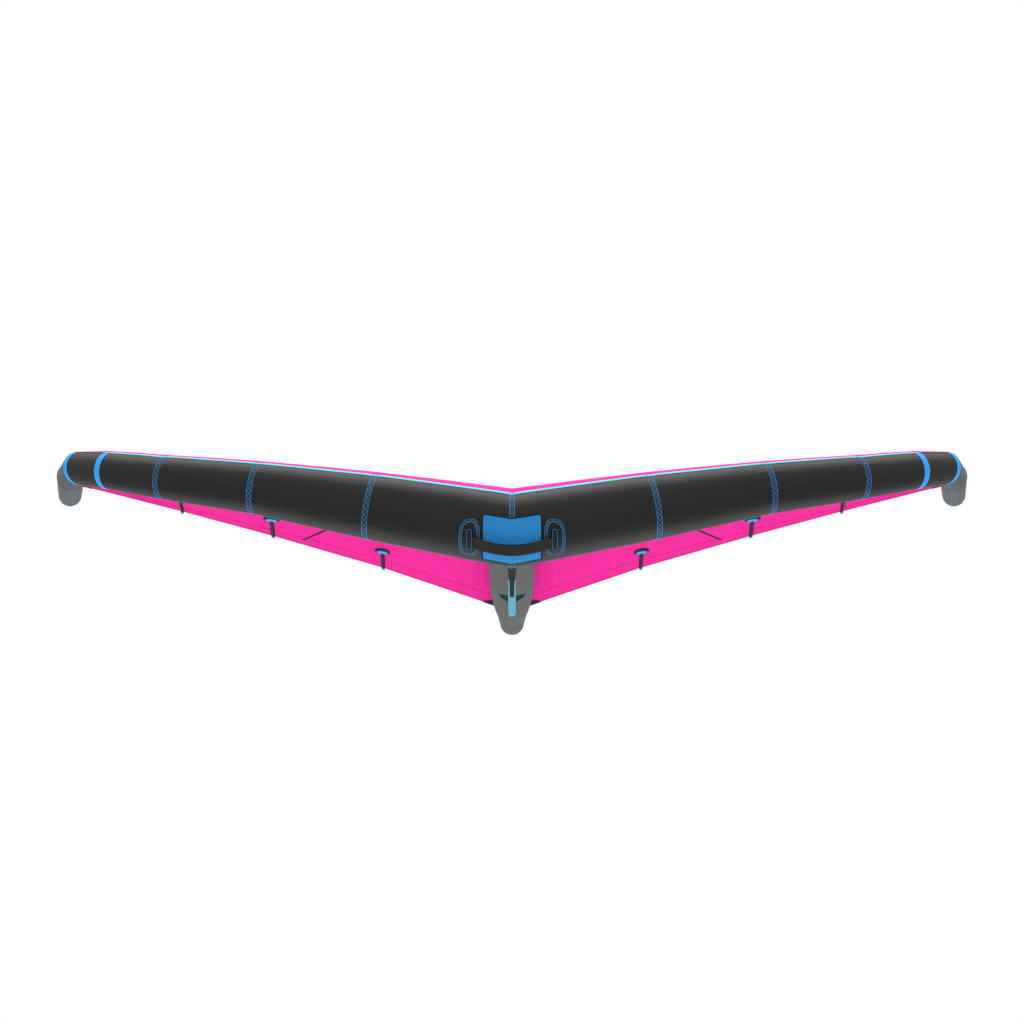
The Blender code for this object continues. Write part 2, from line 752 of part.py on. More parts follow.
def add_canopy_patch(bm, rib, width, start, end, squareness):
    """A rounded patch under a rib of the canopy, between two distances from the trailing edge."""
    grid = []
    chord = rib_chord(rib)
    for distance, share in patch_rows(start, end, squareness):
        line = []
        for k in (-1.0, 0.0, 1.0):
            shift = k * share * width / 2
            bay = rib if shift >= 0.0 else rib - 1
            line.append(canopy_point(rib + shift / bay_width(bay), 1.0 - distance / chord))
        grid.append(line)
    top = CANOPY_THICKNESS / 2 + CANOPY_GAP
    add_plate(bm, lifted(grid, -top - PATCH_THICKNESS), lifted(grid, -top))


def build_side_patches():
    """Dark patches on the strut, on both sides of the landing strip, behind the first seam."""
    start = STRUT[SEAM_1_ROW][0] + GAP
    narrowest = strut_at(start + SIDE_PATCH_LENGTH)[1]
    inner_angle = math.degrees((STRIP_WIDTH / 2 + 2 * GAP) / narrowest)
    facets = [FACET_ANGLE * k for k in range(1, TUBE_SIDES // 4)]
    between = [angle for angle in facets if inner_angle < angle < SIDE_PATCH_TOP_ANGLE]
    angles = [inner_angle, *between, SIDE_PATCH_TOP_ANGLE]
    grids = []
    for lift in (GAP, GAP + PATCH_THICKNESS):
        grid = []
        for angle in angles:
            outward = (angle - inner_angle) / (SIDE_PATCH_TOP_ANGLE - inner_angle)
            front = start + SIDE_PATCH_SWEEP * outward
            length = SIDE_PATCH_LENGTH + (SIDE_PATCH_OUTER_LENGTH - SIDE_PATCH_LENGTH) * outward
            grid.append([strut_facet_point(front + length * k / 2, angle, lift) for k in (0, 1, 2)])
        grids.append(grid)
    bm = bmesh.new()
    add_plate(bm, grids[0], grids[1])
    add_pair("strut_side_patch", bm, "black_webbing")


# Battens and their pockets


def rib_frame(rib, distance):
    """A point of a rib at a distance from the trailing edge, with unit vectors across the rib and down."""
    share = 1.0 - distance / rib_chord(rib)
    nudge = BATTEN_WIDTH / rib_chord(rib)
    back = (rib_point(rib, share) - rib_point(rib, share - nudge)).normalized()
    span = (canopy_point(rib + nudge, share) - canopy_point(rib - nudge, share)).normalized()
    down = back.cross(span).normalized()
    if down.z > 0.0:
        down = -down
    span = down.cross(back).normalized()
    return rib_point(rib, share), span, down


def bar_rings(rib, distances, width, top, bottom):
    """Rectangular rings under a rib, at these distances from the trailing edge."""
    rings = []
    for distance in distances:
        point, span, down = rib_frame(rib, distance)
        rings.append(
            [
                point - span * width / 2 + down * top,
                point + span * width / 2 + down * top,
                point + span * width / 2 + down * bottom,
                point - span * width / 2 + down * bottom,
            ]
        )
    return rings


def build_battens():
    under = CANOPY_THICKNESS / 2 + CANOPY_GAP
    tunnel_width = BATTEN_WIDTH + 2 * GAP
    tunnel_height = BATTEN_HEIGHT + 2 * GAP
    pocket_width = tunnel_width + 2 * POCKET_WALL
    bottom = under + tunnel_height + 2 * POCKET_WALL
    for number, (rib, length) in enumerate(zip(BATTEN_RIBS, POCKET_LENGTHS), start=1):
        distances = [length * (1.0 - row / POCKET_ROWS) for row in range(POCKET_ROWS + 1)]
        outer = bar_rings(rib, distances, pocket_width, under, bottom)
        inner = bar_rings(rib, distances, tunnel_width, under + POCKET_WALL, bottom - POCKET_WALL)
        bm = bmesh.new()
        add_wall(bm, outer, inner)
        pockets = add_pair(f"batten_pocket_{number}", bm, "black_webbing")

        bm = bmesh.new()
        front = length - END_PATCH_OVERLAP
        add_canopy_patch(bm, rib, END_PATCH_WIDTH, front + END_PATCH_LENGTH, front, OVAL_SQUARENESS)
        patches = add_pair(f"cutter_end_patch_{number}", bm, "blue_patch")
        for pocket, patch in zip(pockets, patches):
            boolean(pocket, patch, "UNION")

        top = under + POCKET_WALL + GAP
        bm = bmesh.new()
        inside = [front - BATTEN_END_GAP, *distances[1:-1], GAP]
        add_solid_loft(bm, bar_rings(rib, inside, BATTEN_WIDTH, top, top + BATTEN_HEIGHT))
        add_pair(f"batten_{number}", bm, "batten_glassfibre")


# Grab handle


def handle_frame():
    """The handle's swing axis at the middle, and unit vectors out from it and across the webbing."""
    lift = GAP + PATCH_THICKNESS + HANDLE_END_LIFT + HANDLE_BEAD_RADIUS
    end = centre_tube_point(HANDLE_HALF_LENGTH, HANDLE_ANGLE, lift)
    turn = math.radians(HANDLE_DROP_ANGLE)
    outward = Vector((0.0, -math.cos(turn), -math.sin(turn)))
    broad = Vector((0.0, -math.sin(turn), math.cos(turn)))
    return Vector((0.0, end.y, end.z)), outward, broad


def handle_ring(pivot, outward, broad, across):
    """The webbing's section: a small round bead at its ends, which widens to flat webbing."""
    stretch = math.pi / 2 / HANDLE_HALF_LENGTH
    reach = HANDLE_REACH * math.cos(across * stretch)
    slope = -HANDLE_REACH * stretch * math.sin(across * stretch)
    along = (Vector((1.0, 0.0, 0.0)) + outward * slope).normalized()
    face = along.cross(broad).normalized()
    flat = min(1.0, reach / HANDLE_TAPER_REACH)
    corner = HANDLE_BEAD_RADIUS * math.cos(math.pi / 4)
    half, thin = HANDLE_WIDTH / 2, WEBBING_THICKNESS / 2
    bead = [(0.0, HANDLE_BEAD_RADIUS), (corner, corner), (HANDLE_BEAD_RADIUS, 0.0), (corner, -corner)]
    webbing = [(0.0, thin), (half, thin), (half, 0.0), (half, -thin)]
    bead += [(-u, -v) for u, v in bead]
    webbing += [(-u, -v) for u, v in webbing]
    middle = pivot + outward * reach + Vector((across, 0.0, 0.0))
    ring = []
    for (u0, v0), (u1, v1) in zip(bead, webbing):
        u, v = u0 + (u1 - u0) * flat, v0 + (v1 - v0) * flat
        ring.append(middle + broad * u + face * v)
    return ring


def build_handle():
    pivot, outward, broad = handle_frame()
    bm = bmesh.new()
    steps = [2.0 * k / HANDLE_STEPS - 1.0 for k in range(HANDLE_STEPS + 1)]
    add_solid_loft(bm, [handle_ring(Vector(), outward, broad, HANDLE_HALF_LENGTH * s) for s in steps])
    add_object("front_handle", bm, "black_webbing", Matrix.Translation(pivot))


# Landing strip and tongue


STRIP_FRONT = STRIP_FRONT_SHARE * CANOPY_CHORD
TONGUE_FRONT = TONGUE_FRONT_SHARE * CANOPY_CHORD
TONGUE_END = TONGUE_END_SHARE * CANOPY_CHORD


def ring_places(start, end, extra=()):
    """Distances back between two places, with one on each ring of the strut between them."""
    inside = [row[0] for row in STRUT if start < row[0] < end]
    return sorted({start, end, *inside, *[place for place in extra if start < place < end]})


def under_strut(back, half_width, drop, thickness):
    """One row of a flat-bottomed bar that fits the lowest facets of the strut: its upper and lower points."""
    height, radius = strut_at(back)
    low = radius * math.cos(math.radians(FACET_ANGLE))
    corner = radius * math.sin(math.radians(FACET_ANGLE))
    upper, lower = [], []
    for k in (-1.0, 0.0, 1.0):
        across = half_width * k
        facet = height - radius + (radius - low) * abs(across) / corner
        upper.append(Vector((across, back, height - radius - drop if drop else facet - GAP)))
        lower.append(Vector((across, back, height - radius - GAP - drop - thickness)))
    return upper, lower


def build_strip():
    upper, lower = [], []
    for back in ring_places(STRIP_FRONT, STRIP_FRONT + STRIP_LENGTH):
        top, bottom = under_strut(back, STRIP_WIDTH / 2, 0.0, STRIP_THICKNESS)
        upper.append(top)
        lower.append(bottom)
    bm = bmesh.new()
    add_plate(bm, lower, upper)
    add_object("boom_landing_strip", bm, "cyan_strip")


def tongue_half_width(back):
    place = (back - TONGUE_FRONT) / (TONGUE_END - TONGUE_FRONT)
    pairs = list(zip(TONGUE_PLACE_SHARES, TONGUE_WIDTH_SHARES))
    for (p0, w0), (p1, w1) in zip(pairs, pairs[1:]):
        if place <= p1 or p1 == pairs[-1][0]:
            return TONGUE_WIDTH / 2 * (w0 + (w1 - w0) * (place - p0) / (p1 - p0))


def build_tongue():
    """A tapering tongue that lies on the strut and, past the strip's front end, on the strip."""
    step_end = STRIP_FRONT - GAP
    step_start = step_end - TONGUE_STEP
    marks = [TONGUE_FRONT + share * (TONGUE_END - TONGUE_FRONT) for share in TONGUE_PLACE_SHARES]
    upper, lower = [], []
    for back in ring_places(TONGUE_FRONT, TONGUE_END, [*marks, step_start, step_end]):
        drop = STRIP_THICKNESS + 2 * GAP if back >= step_end else 0.0
        top, bottom = under_strut(back, tongue_half_width(back), drop, TONGUE_THICKNESS)
        upper.append(top)
        lower.append(bottom)
    bm = bmesh.new()
    add_plate(bm, lower, upper)
    add_object("boom_tongue", bm, "black_webbing")


# Inflation valves, each built round its own axis with the sleeve's surface at zero


def turned_rings(profile):
    """The rings of a shape turned from a profile of radius and height."""
    rings = []
    for radius, height in profile:
        angles = [2 * math.pi * k / VALVE_SIDES for k in range(VALVE_SIDES)]
        rings.append([Vector((radius * math.cos(a), radius * math.sin(a), height)) for a in angles])
    return rings


def valve_frame(origin, outward, hinge_side):
    """Places a valve: +Z outward, with its cap's hinge towards -X."""
    z = outward.normalized()
    x = -(hinge_side - z * hinge_side.dot(z)).normalized()
    y = z.cross(x)
    return Matrix.Translation(origin) @ Matrix((x, y, z)).transposed().to_4x4()


def square_to(outward, line):
    """The direction nearest outward that is square to a line on the surface."""
    return (outward - line * (outward.dot(line) / line.length_squared)).normalized()


def add_box(bm, low, high):
    """A block between two corners."""
    size = [b - a for a, b in zip(low, high)]
    middle = [(a + b) / 2 for a, b in zip(low, high)]
    made = bmesh.ops.create_cube(bm, size=1.0)
    bmesh.ops.scale(bm, vec=size, verts=made["verts"])
    bmesh.ops.translate(bm, vec=middle, verts=made["verts"])


def build_valve(prefix, place, walls):
    """A valve at this place, with its hole cut in the walls that it goes through."""
    base_bm = bmesh.new()
    outer = [
        (VALVE_COLLAR_RADIUS, -VALVE_COLLAR_DEPTH),
        (VALVE_COLLAR_RADIUS, 0.0),
        (VALVE_LIP_RADIUS, 0.0),
        (VALVE_LIP_RADIUS, VALVE_LIP_HEIGHT),
        (VALVE_COLLAR_RADIUS, VALVE_LIP_HEIGHT),
        (VALVE_COLLAR_RADIUS, VALVE_COLLAR_HEIGHT),
    ]
    inner = [
        (VALVE_SEAT_RADIUS, -VALVE_COLLAR_DEPTH),
        (VALVE_SEAT_RADIUS, -VALVE_SEAT_DEPTH),
        (VALVE_BORE_RADIUS, -VALVE_SEAT_DEPTH),
        (VALVE_BORE_RADIUS, 0.0),
        (VALVE_BORE_RADIUS, VALVE_LIP_HEIGHT),
        (VALVE_BORE_RADIUS, VALVE_COLLAR_HEIGHT),
    ]
    add_wall(base_bm, turned_rings(outer), turned_rings(inner))
    base = add_object(f"{prefix}_valve_base", base_bm, "valve_plastic", place)

    lug_end = VALVE_LIP_RADIUS + CAP_LUG_LENGTH / 2
    hinge_height = VALVE_COLLAR_HEIGHT + GAP
    lug_bm = bmesh.new()
    lug_start = (VALVE_BORE_RADIUS + VALVE_COLLAR_RADIUS) / 2
    half = CAP_LUG_WIDTH / 2
    add_box(lug_bm, (-lug_end, -half, VALVE_LIP_HEIGHT / 2), (-lug_start, half, VALVE_COLLAR_HEIGHT))
    boolean(base, add_object(f"cutter_{prefix}_valve_lug", lug_bm, "valve_plastic", place), "UNION")

    insert_bm = bmesh.new()
    radius = VALVE_BORE_RADIUS - VALVE_GAP
    stem = VALVE_SEAT_RADIUS - VALVE_GAP
    profile = [(stem, -VALVE_COLLAR_DEPTH), (stem, VALVE_GAP - VALVE_SEAT_DEPTH)]
    profile += [(radius, VALVE_GAP - VALVE_SEAT_DEPTH), (radius, INSERT_TOP)]
    add_solid_loft(insert_bm, turned_rings(profile))
    insert = add_object(f"{prefix}_valve_insert", insert_bm, "valve_insert_plastic", place)
    grip_bm = bmesh.new()
    wide, deep = VALVE_BORE_RADIUS + OVERRUN, GRIP_WIDTH / 2
    add_box(grip_bm, (-wide, deep, INSERT_TOP - GRIP_HEIGHT), (wide, wide, INSERT_TOP + OVERRUN))
    add_box(grip_bm, (-wide, -wide, INSERT_TOP - GRIP_HEIGHT), (wide, -deep, INSERT_TOP + OVERRUN))
    boolean(insert, add_object(f"cutter_{prefix}_valve_grip", grip_bm, "valve_plastic", place))

    hinge = Matrix.Translation((-lug_end, 0.0, hinge_height))
    plug = VALVE_BORE_RADIUS - VALVE_GAP
    plug_low = VALVE_COLLAR_HEIGHT - CAP_PLUG_DEPTH
    top = hinge_height + CAP_HEIGHT
    cap_bm = bmesh.new()
    profile = [
        (plug - CAP_PLUG_WALL, hinge_height),
        (plug - CAP_PLUG_WALL, plug_low),
        (plug, plug_low),
        (plug, hinge_height),
        (CAP_RADIUS, hinge_height),
        (CAP_RADIUS, hinge_height + CAP_HEIGHT * CAP_EDGE_SHARE),
        (CAP_RADIUS * CAP_TOP_SHARE, top),
    ]
    add_solid_loft(cap_bm, turned_rings(profile))
    shift = Vector((lug_end, 0.0, -hinge_height))
    bmesh.ops.translate(cap_bm, verts=cap_bm.verts, vec=shift)
    cap = add_object(f"{prefix}_valve_cap", cap_bm, "valve_plastic", place @ hinge)
    tab_bm = bmesh.new()
    add_box(tab_bm, (0.0, -half, 0.0), (lug_end - CAP_RADIUS * CAP_TAB_END_SHARE, half, CAP_LUG_HEIGHT))
    tab = add_object(f"cutter_{prefix}_valve_tab", tab_bm, "valve_plastic", place @ hinge)
    boolean(cap, tab, "UNION")

    hole_bm = bmesh.new()
    hole = VALVE_COLLAR_RADIUS + VALVE_GAP
    add_solid_loft(hole_bm, turned_rings([(hole, -OVERRUN), (hole, OVERRUN)]))
    cutter = add_object(f"cutter_{prefix}_valve_hole", hole_bm, "valve_plastic", place)
    for wall in walls:
        boolean(wall, cutter)


def build_valves(tube_walls, strut_walls):
    _, forward, up = bay_axes(0)
    turn = math.radians(TUBE_VALVE_ANGLE)
    outward = forward * math.cos(turn) + up * math.sin(turn)
    origin = centre_tube_point(-TUBE_VALVE_ACROSS, TUBE_VALVE_ANGLE, GAP)
    beside = centre_tube_point(-TUBE_VALVE_ACROSS + VALVE_LIP_RADIUS, TUBE_VALVE_ANGLE, GAP)
    outward.x = -outward.x
    build_valve("le", valve_frame(origin, square_to(outward, beside - origin), -UP), tube_walls)

    turn = math.radians(STRUT_VALVE_ANGLE)
    origin = strut_facet_point(STRUT_VALVE_BACK, STRUT_VALVE_ANGLE + 90.0, GAP)
    behind = strut_facet_point(STRUT_VALVE_BACK + VALVE_LIP_RADIUS, STRUT_VALVE_ANGLE + 90.0, GAP)
    outward = Vector((math.cos(turn), 0.0, math.sin(turn)))
    build_valve("strut", valve_frame(origin, square_to(outward, behind - origin), -UP), strut_walls)


def add_wing_frame():
    """An empty that sets the wing on its origin: its lowest points at zero height, and its depth halved."""
    pivot, outward, _ = handle_frame()
    front = pivot.y + outward.y * (HANDLE_REACH + WEBBING_THICKNESS / 2)
    front += -HANDLE_WIDTH / 2 * math.sin(math.radians(HANDLE_DROP_ANGLE))
    back = CANOPY_CHORD + STRUT_END_LENGTH * math.sin(math.radians(DOME_ANGLES[-1]))
    frame = bpy.data.objects.new("wing_frame", None)
    frame.location = (0.0, -(front + back) / 2, TUBE_BOTTOM)
    bpy.context.scene.collection.objects.link(frame)


def build_wing():
    start_scene()
    add_wing_frame()
    panels = build_leading_edge()
    bladder = build_bladder()
    build_canopy()
    build_seam_tape()
    strut_sleeve = build_strut(tube_cutter())
    strut_bladder = build_strut_bladder()
    build_front_patches()
    build_side_patches()
    build_battens()
    build_handle()
    build_strip()
    build_tongue()
    left_panel = panels["le_panel_1"][1]
    build_valves([left_panel, bladder], [strut_sleeve, strut_bladder])


build_wing()
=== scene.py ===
# %% [markdown]
# # An inflatable hand wing
# A hand wing is a kite-like sail that a rider holds while standing on a foil board. A tapered tube
# of sewn polyester cloth holds its front edge open, a second tube is its spine, and a thin canopy
# is stretched between them. This lesson dresses a plain solid model of one: every soft piece gets
# a mesh of its own, in the place that the solid one holds, and every surface gets its material.

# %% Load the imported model
import itertools
import json
import math

import bmesh
import bpy
import numpy as np
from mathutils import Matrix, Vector

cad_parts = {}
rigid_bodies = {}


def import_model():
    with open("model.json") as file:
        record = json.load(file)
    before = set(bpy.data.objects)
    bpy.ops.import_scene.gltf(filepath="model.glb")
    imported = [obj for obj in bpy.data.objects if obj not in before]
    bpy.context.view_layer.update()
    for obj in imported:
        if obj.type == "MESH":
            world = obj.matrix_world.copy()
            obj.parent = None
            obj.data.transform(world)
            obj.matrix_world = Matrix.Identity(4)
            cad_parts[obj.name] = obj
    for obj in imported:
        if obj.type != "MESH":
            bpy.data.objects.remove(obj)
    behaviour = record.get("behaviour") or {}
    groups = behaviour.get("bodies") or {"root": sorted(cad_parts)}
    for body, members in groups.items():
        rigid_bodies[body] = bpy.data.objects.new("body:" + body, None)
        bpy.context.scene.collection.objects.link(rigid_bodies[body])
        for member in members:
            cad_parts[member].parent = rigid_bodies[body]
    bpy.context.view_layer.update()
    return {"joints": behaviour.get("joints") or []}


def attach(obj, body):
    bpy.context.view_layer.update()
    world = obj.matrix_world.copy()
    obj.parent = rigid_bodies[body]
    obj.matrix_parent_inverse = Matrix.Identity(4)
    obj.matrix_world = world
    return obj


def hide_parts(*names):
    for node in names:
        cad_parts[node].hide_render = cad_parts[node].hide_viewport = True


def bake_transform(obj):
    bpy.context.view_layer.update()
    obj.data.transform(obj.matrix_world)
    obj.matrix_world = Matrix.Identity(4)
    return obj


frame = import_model()

# %% [markdown]
# ## The camera
# The wing is seen from the front and from a little below, with a long lens: its two halves look
# alike, and its far end is hardly smaller than its near one. A long lens far away gives that. The
# wing's own origin is the middle of the front tube's axis, and the camera is set from there.

# %% Camera
WING_ORIGIN = Vector((0.0, -0.931587, 0.121980))
CAMERA_DISTANCE = 18.0
CAMERA_ELEVATION = math.radians(-7.5)
VIEW_WIDTH = 3.2768
AIM_ABOVE_AXIS = 0.0592
SENSOR_WIDTH_MM = 36.0

toward_camera = Vector((0.0, -math.cos(CAMERA_ELEVATION), math.sin(CAMERA_ELEVATION)))
picture_up = Vector((0.0, math.sin(CAMERA_ELEVATION), math.cos(CAMERA_ELEVATION)))
camera_data = bpy.data.cameras.new("camera")
camera_data.sensor_width = SENSOR_WIDTH_MM
camera_data.lens = SENSOR_WIDTH_MM * CAMERA_DISTANCE / VIEW_WIDTH
camera = bpy.data.objects.new("camera", camera_data)
bpy.context.scene.collection.objects.link(camera)
camera.location = WING_ORIGIN + picture_up * AIM_ABOVE_AXIS + toward_camera * CAMERA_DISTANCE
camera.rotation_mode = "QUATERNION"
camera.rotation_quaternion = (-toward_camera).to_track_quat("-Z", "Y")
bpy.context.scene.camera = camera
print("lens", round(camera_data.lens, 1), "mm")

# %% [markdown]
# ## Nodes and colours
# Materials and Geometry Nodes are both built from nodes, so one small function adds a node, sets
# it up and links it. Colours are written as sRGB hex values, as a colour picker shows them, and
# one function turns them to the linear numbers that the renderer works in.


# %% One function for nodes, one for colours
def add_node(tree, kind, inputs=None, **settings):
    """Adds a node with its settings. Its inputs take a number, a colour or another node's socket."""
    node = tree.nodes.new(kind)
    for name, value in settings.items():
        setattr(node, name, value)
    for key, value in (inputs or {}).items():
        if isinstance(value, bpy.types.NodeSocket):
            tree.links.new(value, node.inputs[key])
        else:
            node.inputs[key].default_value = value
    return node


def calculate(tree, operation, first, second):
    """The output of a Math node on two numbers, each of which may be a socket."""
    return add_node(tree, "ShaderNodeMath", {0: first, 1: second}, operation=operation).outputs[0]


def linear(code):
    """An sRGB hex colour as linear red, green, blue and alpha."""
    channels = [int(code[i : i + 2], 16) / 255 for i in (1, 3, 5)]
    return (*[c / 12.92 if c <= 0.04045 else ((c + 0.055) / 1.055) ** 2.4 for c in channels], 1.0)


# %% [markdown]
# ## Light
# The picture is a studio one: white all round, with one broad soft light overhead that draws a grey
# band along the top of the black tube. The world gives the even light, a wide area lamp above
# gives the band, and a wide one below lifts the underside of the canopy, which faces away from it.
# Behind the wing, and in its reflections, is plain white: Light Path tells those rays from the others.
# The floor is far below, because the wing is in the air, and low enough to look up from.

# %% World, lamps and floor
WORLD_STRENGTH = 0.82
FLOOR_LEVEL = -9.0
FLOOR_SIZE = 160.0
LAMPS = {
    "behind": {"at": (0.0, 1.0, 6.4), "size": (11.0, 3.4), "power": 330.0},
    "underneath": {"at": (0.0, 1.5, -6.3), "size": (11.0, 6.0), "power": 205.0},
}

scene = bpy.context.scene
scene.view_settings.view_transform = "Standard"
world = bpy.data.worlds.new("studio")
scene.world = world
world.use_nodes = True
tree = world.node_tree
tree.nodes.clear()
rays = add_node(tree, "ShaderNodeLightPath").outputs
seen = calculate(tree, "MAXIMUM", rays["Is Camera Ray"], rays["Is Glossy Ray"])
seen = calculate(tree, "MAXIMUM", seen, rays["Is Transmission Ray"])
white = linear("#ffffff")
around = add_node(tree, "ShaderNodeBackground", {"Color": white, "Strength": WORLD_STRENGTH})
backdrop = add_node(tree, "ShaderNodeBackground", {"Color": white, "Strength": 1.0})
chosen = add_node(tree, "ShaderNodeMixShader", {0: seen, 1: around.outputs[0], 2: backdrop.outputs[0]})
add_node(tree, "ShaderNodeOutputWorld", {"Surface": chosen.outputs[0]})

for name, lamp in LAMPS.items():
    data = bpy.data.lights.new(name, "AREA")
    data.shape = "RECTANGLE"
    data.size, data.size_y = lamp["size"]
    data.energy = lamp["power"]
    light = bpy.data.objects.new(name, data)
    scene.collection.objects.link(light)
    light.location = lamp["at"]
    light.rotation_mode = "QUATERNION"
    light.rotation_quaternion = (WING_ORIGIN - light.location).to_track_quat("-Z", "Y")
    light.visible_camera = False

floor_mesh = bpy.data.meshes.new("floor")
half = FLOOR_SIZE / 2
corners = [(-half, -half, FLOOR_LEVEL), (half, -half, FLOOR_LEVEL)]
corners += [(half, half, FLOOR_LEVEL), (-half, half, FLOOR_LEVEL)]
floor_mesh.from_pydata(corners, [], [(0, 1, 2, 3)])
floor = bpy.data.objects.new("floor", floor_mesh)
scene.collection.objects.link(floor)
paper = bpy.data.materials.new("studio_paper")
paper.use_nodes = True
shader = paper.node_tree.nodes["Principled BSDF"]
shader.inputs["Base Color"].default_value = linear("#eeeeec")
shader.inputs["Roughness"].default_value = 0.9
floor_mesh.materials.append(paper)
print("lamps:", ", ".join(LAMPS))

# %% [markdown]
# ## Cloth
# Most of this wing is woven polyester. The tubes are dacron: a heavy, tightly woven cloth that
# is calendered between hot rollers, so its threads hardly show and it has a dull sheen. The canopy
# is ripstop: a light cloth with a thicker thread every few millimetres, which shows as a fine grid.
# Both come from one recipe. A UV map in metres lies along the threads, so that the weave follows
# the cloth round a tube. Real threads are about 0.3 mm apart, too fine for any picture of a whole
# wing, so the weave is drawn at 2 mm and the ripstop grid at 10 mm, which is as the picture has it.

# %% Recipe for woven cloth
WAVE_PERIOD = 2 * math.pi / 20
CLOUD_SCALE = 7.0
CLOUD_RANGE = (0.42, 0.68)
MATERIALS = {}


def start_material(name):
    """The empty node tree of a new material."""
    material = bpy.data.materials.new(name)
    material.use_nodes = True
    material.node_tree.nodes.clear()
    MATERIALS[name] = material
    return material.node_tree


def finish_material(tree, colour, height, bump_distance, sockets):
    """A principled shader with a colour and a bump from nodes, and plain numbers for the rest."""
    bump = add_node(tree, "ShaderNodeBump", {"Height": height, "Distance": bump_distance, "Strength": 1.0})
    inputs = {"Base Color": colour, "Normal": bump.outputs[0], **sockets}
    shader = add_node(tree, "ShaderNodeBsdfPrincipled", inputs)
    add_node(tree, "ShaderNodeOutputMaterial", {"Surface": shader.outputs[0]})


def mixed(tree, factor, first, second):
    """The output of a colour mix. A Mix node has sockets of several kinds: 6, 7 and 2 are the colours."""
    return add_node(tree, "ShaderNodeMix", {0: factor, 6: first, 7: second}, data_type="RGBA").outputs[2]


def grid_lines(tree, axes, pitch, width):
    """A mask that is 1 on lines in both directions of the cloth, pitch apart."""
    masks = []
    for axis in ("X", "Y"):
        distance = calculate(tree, "PINGPONG", axes.outputs[axis], pitch / 2)
        mask = add_node(tree, "ShaderNodeMapRange", {"Value": distance, "From Min": width / 2, "From Max": width,
                                                     "To Min": 1.0, "To Max": 0.0}, interpolation_type="SMOOTHSTEP")
        masks.append(mask.outputs[0])
    return calculate(tree, "MAXIMUM", *masks)


def woven_cloth(name, base, shade, line=None, thread=0.002, depth=0.00012, pitch=0.010, **sockets):
    """Cloth of a base colour that drifts to a shade in broad patches, with ripstop lines of another colour."""
    tree = start_material(name)
    uv = add_node(tree, "ShaderNodeUVMap", uv_map="cloth").outputs[0]
    axes = add_node(tree, "ShaderNodeSeparateXYZ", {0: uv})
    weave = []
    for direction in ("X", "Y"):
        wave = add_node(tree, "ShaderNodeTexWave", {"Vector": uv, "Scale": WAVE_PERIOD / thread},
                        wave_type="BANDS", bands_direction=direction)
        weave.append(wave.outputs["Fac"])
    height = calculate(tree, "MULTIPLY", *weave)
    cloudy = add_node(tree, "ShaderNodeTexNoise", {"Vector": uv, "Scale": CLOUD_SCALE, "Detail": 3.0})
    patchy = add_node(tree, "ShaderNodeMapRange", {"Value": cloudy.outputs["Fac"], "From Min": CLOUD_RANGE[0],
                                                   "From Max": CLOUD_RANGE[1]})
    colour = mixed(tree, patchy.outputs[0], linear(base), linear(shade))
    if line:
        lines = grid_lines(tree, axes, pitch, thread / 2)
        colour = mixed(tree, lines, colour, linear(line))
        height = calculate(tree, "ADD", height, lines)
    finish_material(tree, colour, height, depth, sockets)


def object_texture(tree, kind, inputs, **settings):
    """A texture's mask in a piece's own coordinates."""
    where = add_node(tree, "ShaderNodeTexCoord").outputs["Object"]
    return add_node(tree, kind, {"Vector": where, **inputs}, **settings).outputs["Fac"]


# %% The wing's cloths
CLOTH = {"IOR": 1.5, "Metallic": 0.0}
DACRON = {**CLOTH, "Roughness": 0.44, "Specular IOR Level": 0.27, "Sheen Weight": 0.02, "Sheen Roughness": 0.5}
woven_cloth("tube_dacron_black", "#131314", "#161617", thread=0.0022, depth=0.00008, **DACRON)
woven_cloth("tube_dacron_grey", "#595b59", "#616361", thread=0.0022, depth=0.00008,
            **{**DACRON, "Roughness": 0.55, "Specular IOR Level": 0.10})
RIPSTOP = {**CLOTH, "Roughness": 0.55, "Specular IOR Level": 0.04}
woven_cloth("canopy_ripstop", "#ff22a6", "#fd20a3", line="#ee1e9d", **RIPSTOP)
woven_cloth("canopy_edge_band", "#fb27a2", "#f6259e", line="#e31f96", **RIPSTOP)
woven_cloth("canopy_seam_cloth", "#e42698", "#dc2494", **RIPSTOP)
PATCH = {**CLOTH, "Roughness": 0.52, "Specular IOR Level": 0.10}
woven_cloth("patch_dacron_blue", "#2e92da", "#2b8bd1", thread=0.0022, depth=0.00008, **PATCH)
woven_cloth("bright_blue_tape", "#3fb0ff", "#3ca9f6", thread=0.0018, **PATCH)
woven_cloth("bright_cyan_tape", "#50ecff", "#4ce4f8", thread=0.0018, **PATCH)
ROUGH = {**CLOTH, "Roughness": 0.75, "Specular IOR Level": 0.15}
woven_cloth("black_cordura", "#1d2527", "#222c2e", thread=0.0026, depth=0.00030, **ROUGH)
woven_cloth("strap_webbing_black", "#2e2d2b", "#35332f", thread=0.0034, depth=0.00045, **ROUGH)
print(len(MATERIALS), "cloths")

# %% [markdown]
# ## The shape of the front tube
# A sewn tube can't bend smoothly. It is cut as straight tapered bays, joined at mitred seams, and
# pressure rounds each bay. So the tube's surface is a function of a bay, how far along it, and an
# angle round it from the front upwards. Every patch, tape and stitch on the tube asks the same
# function for its place, which keeps them all on the cloth. Next to a seam the thread holds the
# cloth in, so the bay is drawn in by about a millimetre there, and puckers a little.

